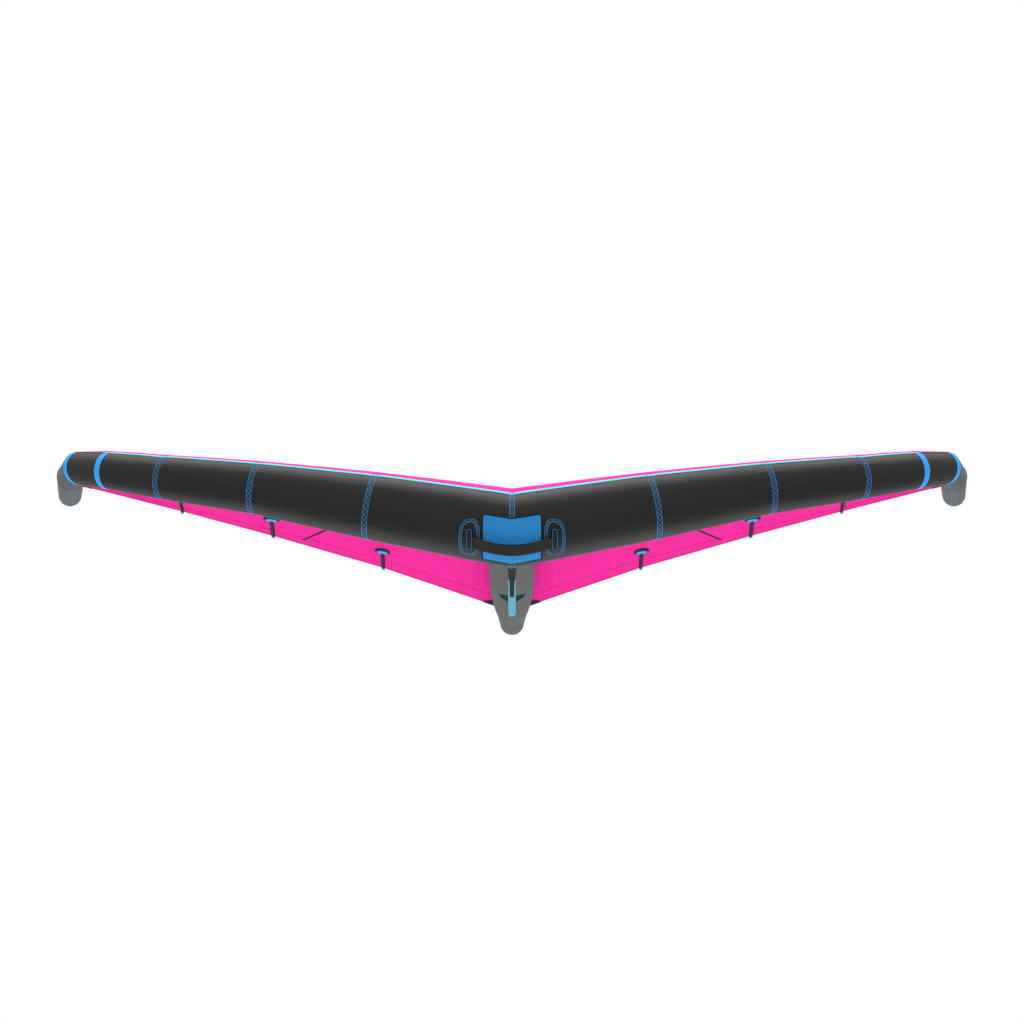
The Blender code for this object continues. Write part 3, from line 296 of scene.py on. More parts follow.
# %% Front tube
TUBE_ACROSS = (0.0, 0.4489, 0.8219, 1.1242, 1.3170, 1.4239, 1.4570, 1.4890)
TUBE_BACK = (0.0, 0.0500, 0.1250, 0.2200, 0.3350, 0.4400, 0.5450, 0.9300)
TUBE_RISE = (0.0, 0.0824, 0.1529, 0.2003, 0.2402, 0.2619, 0.2498, 0.2407)
RADII = (0.1200, 0.1060, 0.0840, 0.0710, 0.0610, 0.0545, 0.0460, 0.0390)
STATIONS = [WING_ORIGIN + Vector(place) for place in zip(TUBE_ACROSS, TUBE_BACK, TUBE_RISE)]
LAST_STATION = len(STATIONS) - 1
UP = Vector((0.0, 0.0, 1.0))
SEAM_PINCH = 0.0011
PINCH_REACH = 0.016
PUCKER_DEPTH = 0.0004
PUCKER_START = 0.006
PUCKER_REACH = 0.030
PUCKERS_ROUND = (19, 31)


def bay_axes(bay):
    """A bay's directions: along it to the tip, forward and up."""
    along = (STATIONS[bay + 1] - STATIONS[bay]).normalized()
    up = (UP - along * UP.dot(along)).normalized()
    return along, along.cross(up), up


def mitre_normal(station):
    """The direction square to the plane in which two bays meet."""
    if station == 0:
        return Vector((1.0, 0.0, 0.0))
    if station == LAST_STATION:
        return bay_axes(station - 1)[0]
    return (bay_axes(station - 1)[0] + bay_axes(station)[0]).normalized()


BAY_AXES = [bay_axes(bay) for bay in range(LAST_STATION)]
MITRES = [mitre_normal(station) for station in range(LAST_STATION + 1)]
BAY_LENGTHS = [(after - before).length for before, after in zip(STATIONS, STATIONS[1:])]


def tube_point(bay, share, angle, lift=0.0, pinched=1.0):
    """A point on a bay's sleeve. Share runs along the bay, angle in degrees from the front upwards."""
    along, forward, up = BAY_AXES[bay]
    turn = math.radians(angle)
    out = forward * math.cos(turn) + up * math.sin(turn)
    ends = []
    for station in (bay, bay + 1):
        offset = out * RADII[station]
        normal = MITRES[station]
        ends.append(STATIONS[station] + offset - along * (offset.dot(normal) / along.dot(normal)))
    reach = (ends[1] - ends[0]).length
    last_bay = bay == LAST_STATION - 1
    seam = min(share, 1.0 if last_bay else 1.0 - share) * reach
    waves = sum(1.0 + math.sin(count * turn + count * bay) for count in PUCKERS_ROUND)
    drawn_in = SEAM_PINCH * math.exp(-seam / PINCH_REACH)
    drawn_in += PUCKER_DEPTH * waves * math.exp(-seam / PUCKER_REACH) * (1.0 - math.exp(-seam / PUCKER_START))
    return ends[0].lerp(ends[1], share) + out * (lift - drawn_in * pinched)


def middle_point(across, angle, lift=0.0, pinched=1.0):
    """A point on the two bays at the middle, by its distance from the middle in metres."""
    point = tube_point(0, abs(across) / tube_point(0, 1.0, angle).x, angle, lift, pinched)
    if across < 0.0:
        point.x = -point.x
    return point


print("tube bays:", [round(length, 3) for length in BAY_LENGTHS], "m")

# %% [markdown]
# ## The shape of the canopy
# Ribs run back from the tube to the trailing edge. Each is a shallow arch, highest a little in
# front of its middle, which is what makes lift. Between ribs the cloth is almost straight, with a
# few millimetres of billow. A place on the canopy is a rib number, which may be a fraction, and a
# share of the way back along it. The ribs' ends are where the tube and the trailing edge put them.

# %% Canopy
CANOPY_THICKNESS = 0.0008
CAMBER_SHARE = 0.060
CAMBER_FRONT_POWER = 0.80
RIB_ATTACH_ANGLES = (75.0, 75.0, 75.0, 75.0, 75.0, 75.0, 90.0)
CORNER_ANGLES = (105.0, 150.0)
CORNER_SHARE = 0.80
EDGE_POINTS = ((0.0, 1.950, -0.0371), (0.4489, 1.6201, 0.0784), (0.8219, 1.3580, 0.1568),
               (1.1242, 1.1521, 0.2150))
EDGE_TIP_SHARES = (0.505, 0.750, 0.875)
RIB_CAMBER_SHARES = (1.0, 0.9, 0.85, 0.85, 1.0, 0.85, 0.5)
BAND_WIDTH = 0.105
BILLOW = 0.003
BATTEN_RIBS = (1, 2, 3)
LAST_RIB = 7
SEAT = 0.0009


def tip_line_point(share):
    """The canopy's seam on the tip, which turns from the tube's top to its inner side."""
    angle = CORNER_ANGLES[0] + (CORNER_ANGLES[1] - CORNER_ANGLES[0]) * share
    return tube_point(LAST_STATION - 1, CORNER_SHARE * share, angle, SEAT)


def make_ribs():
    """Front end, back end and share of the camber for each rib but the one along the tip."""
    fronts = [tube_point(bay, 0.0, RIB_ATTACH_ANGLES[bay], SEAT) for bay in range(6)]
    fronts.append(tube_point(5, 0.5, RIB_ATTACH_ANGLES[6], SEAT))
    backs = [WING_ORIGIN + Vector(point) for point in EDGE_POINTS]
    backs += [backs[-1].lerp(tip_line_point(1.0), share) for share in EDGE_TIP_SHARES]
    return list(zip(fronts, backs, RIB_CAMBER_SHARES))


RIBS = make_ribs()


def rib_point(rib, share):
    if rib == LAST_RIB:
        return tip_line_point(share)
    front, back, keep = RIBS[rib]
    height = CAMBER_SHARE * keep * (back - front).length
    return front.lerp(back, share) + UP * (height * math.sin(math.pi * share**CAMBER_FRONT_POWER))


def cloth_point(place, share):
    """The middle of the canopy's cloth. Negative places are on the left."""
    rib = min(int(abs(place)), LAST_RIB - 1)
    between = abs(place) - rib
    point = rib_point(rib, share).lerp(rib_point(rib + 1, share), between)
    point.z += BILLOW * math.sin(math.pi * between) ** 2 * math.sin(math.pi * share)
    if place < 0.0:
        point.x = -point.x
    return point


def canopy_point(place, share, lift=0.0):
    """A point on the canopy, lifted off the cloth's middle. Lift is upwards, and negative underneath."""
    point = cloth_point(place, share)
    if not lift:
        return point
    step = 0.01
    across = cloth_point(place + step, share) - cloth_point(place - step, share)
    back = cloth_point(place, min(share + step, 1.0)) - cloth_point(place, max(share - step, 0.0))
    return point + across.cross(back).normalized() * lift


def chord_at(place):
    """Length from the tube to the trailing edge at a place."""
    rib = min(int(abs(place)), LAST_RIB - 1)
    chords = [(rib_point(k, 1.0) - rib_point(k, 0.0)).length for k in (rib, rib + 1)]
    return chords[0] + (chords[1] - chords[0]) * (abs(place) - rib)


def share_at(place, distance):
    """The share of the chord that lies this far in front of the trailing edge."""
    return 1.0 - distance / chord_at(place)


print("ribs:", [round(chord_at(rib), 3) for rib in range(LAST_RIB + 1)], "m")

# %% [markdown]
# ## The shape of the strut
# The strut is the second tube. It hangs under the canopy's middle line and tapers to a round end.
# Its top touches the cloth everywhere, so its height follows the middle rib, and only its radius
# is chosen: full over most of its length, and slim at the back. A smooth curve through the radii
# keeps its outline free of corners. Its seams are sewn 18 mm behind those of the solid model.

# %% Strut
STRUT_ROW_SHARES = (0.05, 0.105, 0.18, 0.275, 0.385, 0.50, 0.62, 0.708, 0.82, 0.884, 0.95, 1.0)
STRUT_RADII = (0.0768, 0.0780, 0.0788, 0.0792, 0.0800, 0.0800, 0.0800, 0.0792, 0.0730, 0.0670, 0.0570,
               0.0490, 0.0420)
STRUT_END_LENGTH = 0.080
STRUT_BACKS = [cloth_point(0, share * share_at(0, BAND_WIDTH)).y for share in STRUT_ROW_SHARES]
STRUT_BACKS.append(cloth_point(0, 1.0).y)
STRUT_LAST = STRUT_BACKS[-1]
SEAM_SHIFT = 0.018
SEAM_1_BACK = STRUT_BACKS[7] + SEAM_SHIFT
SEAM_2_BACK = STRUT_BACKS[9] + SEAM_SHIFT


def smooth_between(places, values, place):
    """A smooth curve through values, which doesn't overshoot them."""
    place = min(max(place, places[0]), places[-1])
    k = max(i for i in range(len(places) - 1) if places[i] <= place or i == 0)
    slopes = [(values[i + 1] - values[i]) / (places[i + 1] - places[i]) for i in range(len(places) - 1)]
    ends = []
    for i in (k, k + 1):
        near = slopes[max(i - 1, 0) : i + 1]
        same_way = near[0] * near[-1] > 0.0
        ends.append(2 * near[0] * near[-1] / (near[0] + near[-1]) if same_way else 0.0)
    width = places[k + 1] - places[k]
    t = (place - places[k]) / width
    return (
        values[k] * (1 + 2 * t) * (1 - t) ** 2
        + values[k + 1] * t**2 * (3 - 2 * t)
        + width * (ends[0] * t * (1 - t) ** 2 - ends[1] * t**2 * (1 - t))
    )


MIDDLE_LINE = [cloth_point(0, k / 200) for k in range(201)]
MIDDLE_BACKS = [point.y for point in MIDDLE_LINE]
MIDDLE_HEIGHTS = [point.z for point in MIDDLE_LINE]


def strut_section(back):
    """Height of the strut's axis and its radius at a distance back, in the row's own Y."""
    if back <= STRUT_LAST:
        radius = smooth_between(STRUT_BACKS, STRUT_RADII, back)
        return float(np.interp(back, MIDDLE_BACKS, MIDDLE_HEIGHTS)) - SEAT - radius, radius
    round_share = min((back - STRUT_LAST) / STRUT_END_LENGTH, 1.0)
    height, radius = strut_section(STRUT_LAST)
    return height, radius * math.sqrt(1.0 - round_share**2)


def strut_point(back, angle, lift=0.0):
    """A point on the strut. Angle is in degrees from straight below towards the right."""
    height, radius = strut_section(back)
    for seam in (SEAM_1_BACK, SEAM_2_BACK):
        radius -= SEAM_PINCH * math.exp(-abs(back - seam) / PINCH_REACH)
    turn = math.radians(angle)
    return Vector((0.0, back, height)) + Vector((math.sin(turn), 0.0, -math.cos(turn))) * (radius + lift)


print("strut from", round(STRUT_BACKS[0], 3), "to", round(STRUT_LAST + STRUT_END_LENGTH, 3), "m")

# %% [markdown]
# ## From surfaces to cloth
# A piece of cloth is two grids of points, its outer and its inner face, joined round their rims, so
# it is closed like the real thing and as thin as it. The grid also gives its UV map: distances in
# metres along both directions, counted from the grid's middle column.

# %% Cloth pieces
SHARP_EDGE = math.radians(38.0)


def grid_faces(rows, wrap, flat=None):
    """Faces of a grid and the UV of each of their corners. A row of a single point closes an end."""
    width = max(len(row) for row in rows)
    columns = width + 1 if wrap else width
    starts = np.cumsum([0] + [len(row) for row in rows])
    if flat:
        pattern = np.array([[row[c % len(row)] for c in range(columns)] for row in flat])
        u, v = pattern[:, :, 0], pattern[:, :, 1]
    else:
        points = np.array([[row[c % len(row)] for c in range(columns)] for row in rows])
        u = np.zeros(points.shape[:2])
        v = np.zeros(points.shape[:2])
        u[:, 1:] = np.cumsum(np.linalg.norm(np.diff(points, axis=1), axis=2), axis=1)
        v[1:] = np.cumsum(np.linalg.norm(np.diff(points, axis=0), axis=2), axis=0)
        u -= u[:, columns // 2][:, None]
    faces, uvs = [], []
    for r in range(len(rows) - 1):
        for c in range(columns - 1):
            face, uv = [], []
            for i, j in ((r, c), (r, c + 1), (r + 1, c + 1), (r + 1, c)):
                index = int(starts[i]) + j % len(rows[i])
                if index not in face:
                    face.append(index)
                    uv.append((u[i, j], v[i, j]))
            faces.append(face)
            uvs.append(uv)
    return faces, uvs


def rims(rows, wrap):
    """Pairs of neighbouring points along the open edges of a grid, in order."""
    starts = np.cumsum([0] + [len(row) for row in rows])
    width = max(len(row) for row in rows)
    pairs = []
    for r in (0, len(rows) - 1):
        if len(rows[r]) > 1:
            ring = [int(starts[r]) + c % width for c in range(width + 1 if wrap else width)]
            pairs += zip(ring, ring[1:])
    if not wrap:
        for c in (0, width - 1):
            line = [int(starts[r]) + min(c, len(rows[r]) - 1) for r in range(len(rows))]
            pairs += zip(line, line[1:])
    return pairs


def link_mesh(name, mesh, bm, material):
    """Fills a mesh with smooth faces that all point outwards, and puts it in the scene."""
    bmesh.ops.recalc_face_normals(bm, faces=bm.faces)
    bm.to_mesh(mesh)
    bm.free()
    mesh.shade_smooth()
    mesh.set_sharp_from_angle(angle=SHARP_EDGE)
    mesh.materials.append(MATERIALS[material])
    obj = bpy.data.objects.new(name, mesh)
    scene.collection.objects.link(obj)
    return obj


def mesh_object(name, points, faces, uvs, material):
    """A smooth mesh with its UV map in metres, whose faces all point outwards."""
    mesh = bpy.data.meshes.new(name)
    mesh.from_pydata(points, [], faces)
    layer = mesh.uv_layers.new(name="cloth")
    layer.data.foreach_set("uv", np.array([uv for corners in uvs for uv in corners]).ravel())
    bm = bmesh.new()
    bm.from_mesh(mesh)
    return link_mesh(name, mesh, bm, material)


def cloth_object(name, outer, inner, material, wrap=False, flat=None):
    """A closed piece of cloth between two grids of points."""
    faces, uvs = grid_faces(outer, wrap, flat)
    points = [point for rows in (outer, inner) for row in rows for point in row]
    shift = len(points) // 2
    faces += [[index + shift for index in face[::-1]] for face in faces]
    uvs += [uv[::-1] for uv in uvs]
    for a, b in rims(outer, wrap):
        faces.append([a, b, b + shift, a + shift])
        uvs.append([(0.0, 0.0)] * 4)
    return mesh_object(name, points, faces, uvs, material)


def mirrored(rows):
    return [[Vector((-point.x, point.y, point.z)) for point in row] for row in rows]


def place_piece(obj, slot, stands_for=(), body="wing"):
    """Parents a piece to the body that it rides on, and hides the solids that it stands for."""
    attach(obj, body)
    if stands_for:
        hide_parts(*stands_for)
    return obj


def add_pair(name, outer, inner, material, slot, wrap=False, stands_for=None, flat=None):
    """A piece on the right and its mirror image on the left."""
    pair = []
    for side in ("right", "left"):
        if side == "left":
            outer, inner = mirrored(outer), mirrored(inner)
        obj = cloth_object(f"{name}_{side}", outer, inner, material, wrap, flat)
        place_piece(obj, slot, [f"{stands_for}_{side}"] if stands_for else ())
        pair.append(obj)
    return pair


def spaced(first, last, step):
    """Numbers from first to last, both included, no further apart than step."""
    count = max(1, math.ceil(abs(last - first) / step - 1e-9))
    return [first + (last - first) * k / count for k in range(count + 1)]


# %% [markdown]
# ## The sleeve
# Each bay of the tube is one sewn panel of dacron with its bladder's pressure inside it. Rows of
# points lie close together by the seams, where the cloth puckers, and far apart between them. The
# tip is the last bay, closed by half a ball. Five panels a side are black, the elbow and tip grey.

# %% Sleeve panels
SLEEVE_SIDES = 128
SLEEVE_WALL = 0.0010
SEAM_ROWS = (0.0, 0.003, 0.006, 0.010, 0.016, 0.024, 0.036, 0.055)
ROW_STEP = 0.045
PANEL_NAMES = ("le_panel_1", "le_panel_2", "le_panel_3", "le_panel_4", "le_panel_5", "tip_elbow", "tip_end")
DOME_ROWS = 12


def bay_shares(bay):
    """Shares along a bay, close together near its seams."""
    length = BAY_LENGTHS[bay]
    near = [place for place in SEAM_ROWS if place < 0.42 * length]
    between = spaced(near[-1], length - near[-1], ROW_STEP)[1:-1]
    places = near + between + [length - place for place in near[::-1]]
    return [place / length for place in places]


def tube_ring(bay, share, lift, sides, pinched=1.0):
    """A ring of points round a bay."""
    return [tube_point(bay, share, 360.0 * k / sides, lift, pinched) for k in range(sides)]


def tip_rings(ring, turns, lift):
    """Rows of points that close the tip behind its last ring, and its pole."""
    centre = STATIONS[-1]
    height = BAY_AXES[-1][0] * (RADII[-1] + lift)
    rows = [[centre + (point - centre) * math.cos(turn) + height * math.sin(turn) for point in ring]
            for turn in turns]
    return rows + [[centre + height]]


def tip_dome(lift):
    """The sleeve's tip, from its last ring to its pole."""
    turns = [math.pi / 2 * k / DOME_ROWS for k in range(1, DOME_ROWS)]
    return tip_rings(tube_ring(LAST_STATION - 1, 1.0, lift, SLEEVE_SIDES), turns, lift)


sleeves = []
for bay, name in enumerate(PANEL_NAMES):
    faces_of_cloth = []
    for lift in (0.0, -SLEEVE_WALL):
        rows = [tube_ring(bay, share, lift, SLEEVE_SIDES) for share in bay_shares(bay)]
        faces_of_cloth.append(rows + (tip_dome(lift) if name == "tip_end" else []))
    colour = "black" if name.startswith("le_panel") else "grey"
    sleeves += add_pair(f"sleeve_{name}", *faces_of_cloth, f"tube_dacron_{colour}", f"{colour}_dacron",
                        wrap=True, stands_for=name)
print(len(sleeves), "sleeve panels")

# %% [markdown]
# ## The strut's sleeve
# Three lengths of grey dacron, sewn end to end. The front end meets the front tube, so each line
# along the strut starts where it comes out of the tube's back. The rear end is closed by a dome.

# %% Strut sleeve
STRUT_SIDES = 96
STRUT_STEP = 0.020
MARCH_STEP = 0.0005


def inside_tube(point):
    """Whether a point is inside the middle of the front tube."""
    along, forward, up = BAY_AXES[0]
    offset = Vector((abs(point.x), point.y, point.z)) - STATIONS[0]
    share = offset.dot(along) / BAY_LENGTHS[0]
    radius = RADII[0] + (RADII[1] - RADII[0]) * share
    return math.hypot(offset.dot(forward), offset.dot(up)) < radius


def strut_start(angle):
    """How far back a line along the strut comes out of the front tube."""
    back = WING_ORIGIN.y
    while inside_tube(strut_point(back, angle)):
        back += MARCH_STEP
    return back - MARCH_STEP


ANGLES = [360.0 * k / STRUT_SIDES for k in range(STRUT_SIDES)]
TURNS = [math.radians(angle) for angle in ANGLES]
STARTS = [strut_start(angle) for angle in ANGLES]


def strut_rows(first, last, lift):
    """Rings of the strut's cloth. The first ring of the whole strut lies on the front tube."""
    rows = []
    for share in spaced(0.0, 1.0, STRUT_STEP / (last - first)):
        ring = []
        for angle, start in zip(ANGLES, STARTS):
            front = start if first == STRUT_BACKS[0] else first
            ring.append(strut_point(front + (last - front) * share, angle, lift))
        rows.append(ring)
    return rows


def strut_dome(lift):
    """Rings that close the strut's rear end, down to its pole."""
    height = strut_section(STRUT_LAST)[0]
    rows = []
    for k in range(1, DOME_ROWS):
        turn = math.pi / 2 * k / DOME_ROWS
        back = STRUT_LAST + (STRUT_END_LENGTH + lift) * math.sin(turn)
        inset = (STRUT_RADII[-1] + lift) * math.cos(turn)
        rows.append([Vector((math.sin(turn) * inset, back, height - math.cos(turn) * inset)) for turn in TURNS])
    return rows + [[Vector((0.0, STRUT_LAST + STRUT_END_LENGTH + lift, height))]]


STRUT_LENGTHS = {"strut_front": (STRUT_BACKS[0], SEAM_1_BACK), "strut_middle": (SEAM_1_BACK, SEAM_2_BACK),
                 "strut_rear": (SEAM_2_BACK, STRUT_LAST)}
for name, (first, last) in STRUT_LENGTHS.items():
    walls = [strut_rows(first, last, lift) + (strut_dome(lift) if name == "strut_rear" else [])
             for lift in (0.0, -SLEEVE_WALL)]
    piece = cloth_object(f"sleeve_{name}", *walls, "tube_dacron_grey", wrap=True)
    place_piece(piece, "grey_dacron", [name])
print("strut front ring from", round(min(STARTS), 3), "to", round(max(STARTS), 3), "m")

# %% [markdown]
# ## The canopy
# Four cloths a side, sewn along the ribs, and one band along the trailing edge, where the cloth is
# doubled to stand the flutter. A narrow hem closes the edge. Each is a curved sheet, cut to size
# and stretched between the tubes, and the flat size and area of each cloth and of the band are measured and printed.

# %% Canopy panels
PLACE_STEP = 1 / 24
SHARE_STEP = 1 / 48
PANEL_RIBS = ((0, 1), (1, 2), (2, 3), (3, LAST_RIB))


def canopy_grids(places, start, end, count_step=SHARE_STEP):
    """The two faces of a sheet of canopy, between two shares of the chord that may change along it."""
    grids = []
    for lift in (CANOPY_THICKNESS / 2, -CANOPY_THICKNESS / 2):
        grids.append([[canopy_point(place, start(place) + (end(place) - start(place)) * row, lift)
                       for place in places] for row in spaced(0.0, 1.0, count_step)])
    return grids


def declare_sheet(obj, grid):
    """Measures a stretched sheet: the flat size and area of its pattern piece."""
    points = np.array(grid)
    width = max(np.linalg.norm(np.diff(row, axis=0), axis=1).sum() for row in points)
    columns = points.transpose(1, 0, 2)
    length = max(np.linalg.norm(np.diff(column, axis=0), axis=1).sum() for column in columns)
    diagonals = points[1:, 1:] - points[:-1, :-1], points[1:, :-1] - points[:-1, 1:]
    area = np.linalg.norm(np.cross(*diagonals), axis=2).sum() / 2
    return width, length, area


BAND_TAPER = 0.62
BAND_TAPER_PLACES = 3.0
BAND_MOST_OF_CHORD = 0.45


def band_start(place):
    """Where the edge band starts. It is as wide as the solid one at the middle, and narrows up to rib 3."""
    width = BAND_WIDTH * (1.0 - BAND_TAPER * min(abs(place) / BAND_TAPER_PLACES, 1.0))
    return share_at(place, min(width, BAND_MOST_OF_CHORD * chord_at(place)))


sheet_areas = {}
for number, (first, last) in enumerate(PANEL_RIBS, start=1):
    places = spaced(first, last, PLACE_STEP)
    grids = canopy_grids(places, lambda place: 0.0, band_start)
    for piece in add_pair(f"canopy_{number}", *grids, "canopy_ripstop", "pink_ripstop",
                          stands_for=f"canopy_panel_{number}"):
        sheet_areas[piece.name] = declare_sheet(piece, grids[0])
whole_span = spaced(-LAST_RIB, LAST_RIB, PLACE_STEP)
grids = canopy_grids(whole_span, band_start, lambda place: 1.0, 1 / 8)
band = cloth_object("canopy_edge_band", *grids, "canopy_edge_band")
sheet_areas[band.name] = declare_sheet(place_piece(band, "pink_band", ["trailing_edge_band"]), grids[0])
for name, (width, length, area) in sheet_areas.items():
    print(name, round(width, 3), "x", round(length, 3), "m,", round(area, 4), "m2")

# %% [markdown]
# ## Tape and thread that follow a path
# Tape, binding and stitching all follow a line on the wing, so Geometry Nodes make them. Each line
# is a string of points that carries the direction out of the cloth as an attribute, so a flat tape
# knows which way is up. One tree sweeps a flat profile along it, for tape and webbing. Another
# lays a thread along it in zig-zags, for the seams, and a third sets single stitches in a row.

# %% Trees for tape, zig-zags and stitches
THREAD_SIDES = 5


def new_tree(name, **inputs):
    """A Geometry Nodes tree with named inputs, and the sockets that give them."""
    tree = bpy.data.node_groups.new(name, "GeometryNodeTree")
    tree.interface.new_socket("Geometry", in_out="INPUT", socket_type="NodeSocketGeometry")
    for label, default in inputs.items():
        kind = "NodeSocketFloat" if isinstance(default, float) else "NodeSocketMaterial"
        socket = tree.interface.new_socket(label, in_out="INPUT", socket_type=kind)
        if default is not None:
            socket.default_value = default
    tree.interface.new_socket("Geometry", in_out="OUTPUT", socket_type="NodeSocketGeometry")
    return tree, add_node(tree, "NodeGroupInput").outputs


def end_tree(tree, geometry, material):
    """Ends a tree as the export needs it: instances made real, and the material set."""
    real = add_node(tree, "GeometryNodeRealizeInstances", {"Geometry": geometry})
    painted = add_node(tree, "GeometryNodeSetMaterial", {"Geometry": real.outputs[0], "Material": material})
    add_node(tree, "NodeGroupOutput", {"Geometry": painted.outputs[0]})
    return tree


def named(tree, name, data_type="FLOAT"):
    """A named attribute's value."""
    return add_node(tree, "GeometryNodeInputNamedAttribute", {"Name": name}, data_type=data_type).outputs[0]


def stored(tree, geometry, name, value, data_type="FLOAT", domain="POINT"):
    """Geometry that keeps a value under a name."""
    return add_node(tree, "GeometryNodeStoreNamedAttribute", {"Geometry": geometry, "Name": name, "Value": value},
                    data_type=data_type, domain=domain).outputs[0]


def curves(tree, given):
    """The paths of a piece as curves."""
    return add_node(tree, "GeometryNodeMeshToCurve", {"Mesh": given["Geometry"]}).outputs[0]


def needle_holes(tree, given):
    """The paths as curves with a point at every needle hole."""
    return add_node(tree, "GeometryNodeResampleCurve", {"Curve": curves(tree, given), "Length": given["Pitch"]},
                    mode="LENGTH").outputs[0]


def swept(tree, path, profile):
    """A profile swept along a path, closed at its ends."""
    return add_node(tree, "GeometryNodeCurveToMesh",
                    {"Curve": path, "Profile Curve": profile, "Fill Caps": True}).outputs[0]


def out_of_cloth(tree):
    return named(tree, "out", "FLOAT_VECTOR")


def sideways(tree):
    """Across a path, in the cloth: square to the path and to the way out of the cloth."""
    tangent = add_node(tree, "GeometryNodeInputTangent")
    cross = add_node(tree, "ShaderNodeVectorMath", {0: tangent.outputs[0], 1: out_of_cloth(tree)},
                     operation="CROSS_PRODUCT")
    return add_node(tree, "ShaderNodeVectorMath", {0: cross.outputs[0]}, operation="NORMALIZE").outputs[0]


def tape_tree():
    """Sweeps a flat profile along each path. Its underside lies on the path."""
    tree, given = new_tree("tape", Width=0.01, Thickness=0.001, Material=None)
    facing = add_node(tree, "GeometryNodeSetCurveNormal",
                      {"Curve": curves(tree, given), "Normal": out_of_cloth(tree)}, mode="FREE")
    along = add_node(tree, "GeometryNodeSplineParameter").outputs["Length"]
    path = stored(tree, facing.outputs[0], "along", along)
    profile = add_node(tree, "GeometryNodeCurvePrimitiveQuadrilateral",
                       {"Width": given["Thickness"], "Height": given["Width"]}, mode="RECTANGLE")
    raised = add_node(tree, "ShaderNodeCombineXYZ", {"X": calculate(tree, "MULTIPLY", given["Thickness"], 0.5)})
    moved = add_node(tree, "GeometryNodeSetPosition", {"Geometry": profile.outputs[0], "Offset": raised.outputs[0]})
    place = add_node(tree, "GeometryNodeInputPosition")
    axes = add_node(tree, "ShaderNodeSeparateXYZ", {0: place.outputs[0]})
    tape = swept(tree, path, stored(tree, moved.outputs[0], "across", axes.outputs["Y"]))
    cloth = add_node(tree, "ShaderNodeCombineXYZ", {"X": named(tree, "across"), "Y": named(tree, "along")})
    mapped = stored(tree, tape, "cloth", cloth.outputs[0], "FLOAT2", "CORNER")
    return end_tree(tree, mapped, given["Material"])


def zigzag_tree():
    """Lays one thread in zig-zags along each path. Side is 1 or -1, for two that cross."""
    tree, given = new_tree("zigzag", Pitch=0.004, Width=0.006, Thread=0.0005, Side=1.0, Material=None)
    holes = needle_holes(tree, given)
    index = add_node(tree, "GeometryNodeInputIndex").outputs[0]
    swing = calculate(tree, "SUBTRACT", calculate(tree, "MODULO", index, 2.0), 0.5)
    signed = calculate(tree, "MULTIPLY", calculate(tree, "MULTIPLY", swing, given["Width"]), given["Side"])
    offset = add_node(tree, "ShaderNodeVectorMath", {0: sideways(tree), "Scale": signed}, operation="SCALE")
    moved = add_node(tree, "GeometryNodeSetPosition", {"Geometry": holes, "Offset": offset.outputs[0]})
    round_thread = add_node(tree, "GeometryNodeCurvePrimitiveCircle",
                            {"Resolution": THREAD_SIDES, "Radius": given["Thread"]}, mode="RADIUS")
    return end_tree(tree, swept(tree, moved.outputs[0], round_thread.outputs[0]), given["Material"])


def stitch_tree():
    """Sets single stitches end to end along each path, with a gap at every needle hole."""
    tree, given = new_tree("stitches", Pitch=0.004, Stitch=0.003, Thread=0.0005, Material=None)
    holes = needle_holes(tree, given)
    tangent = add_node(tree, "GeometryNodeInputTangent")
    aim = add_node(tree, "FunctionNodeAlignRotationToVector", {"Vector": tangent.outputs[0]}, axis="Z")
    thread = add_node(tree, "GeometryNodeMeshCylinder",
                      {"Vertices": THREAD_SIDES, "Side Segments": 1, "Fill Segments": 1,
                       "Radius": given["Thread"], "Depth": given["Stitch"]}, fill_type="NGON")
    laid = add_node(tree, "GeometryNodeInstanceOnPoints",
                    {"Points": holes, "Instance": thread.outputs[0], "Rotation": aim.outputs[0]})
    return end_tree(tree, laid.outputs[0], given["Material"])


TREES = {"tape": tape_tree(), "zigzag": zigzag_tree(), "stitches": stitch_tree()}
print("trees:", ", ".join(TREES))

# %% [markdown]
# A path is a function of distance along it that answers with a point on the wing, and with the way
# out there. Growing a tree on some paths gives one plain mesh, which can then ride on its body.

# %% Growing a tree on paths
def surface_path(surface, places, closed=False, lift=0.0):
    """A path through places on a surface, which is a function of two coordinates and a lift."""
    points = [surface(*place, lift) for place in places]
    outs = [(surface(*place, lift + 0.002) - point).normalized() for place, point in zip(places, points)]
    return points, outs, closed


def both(paths):
    """Paths and their mirror images."""
    flip = Vector((-1.0, 1.0, 1.0))
    return paths + [([point * flip for point in points], [out * flip for out in outs], closed)
                    for points, outs, closed in paths]


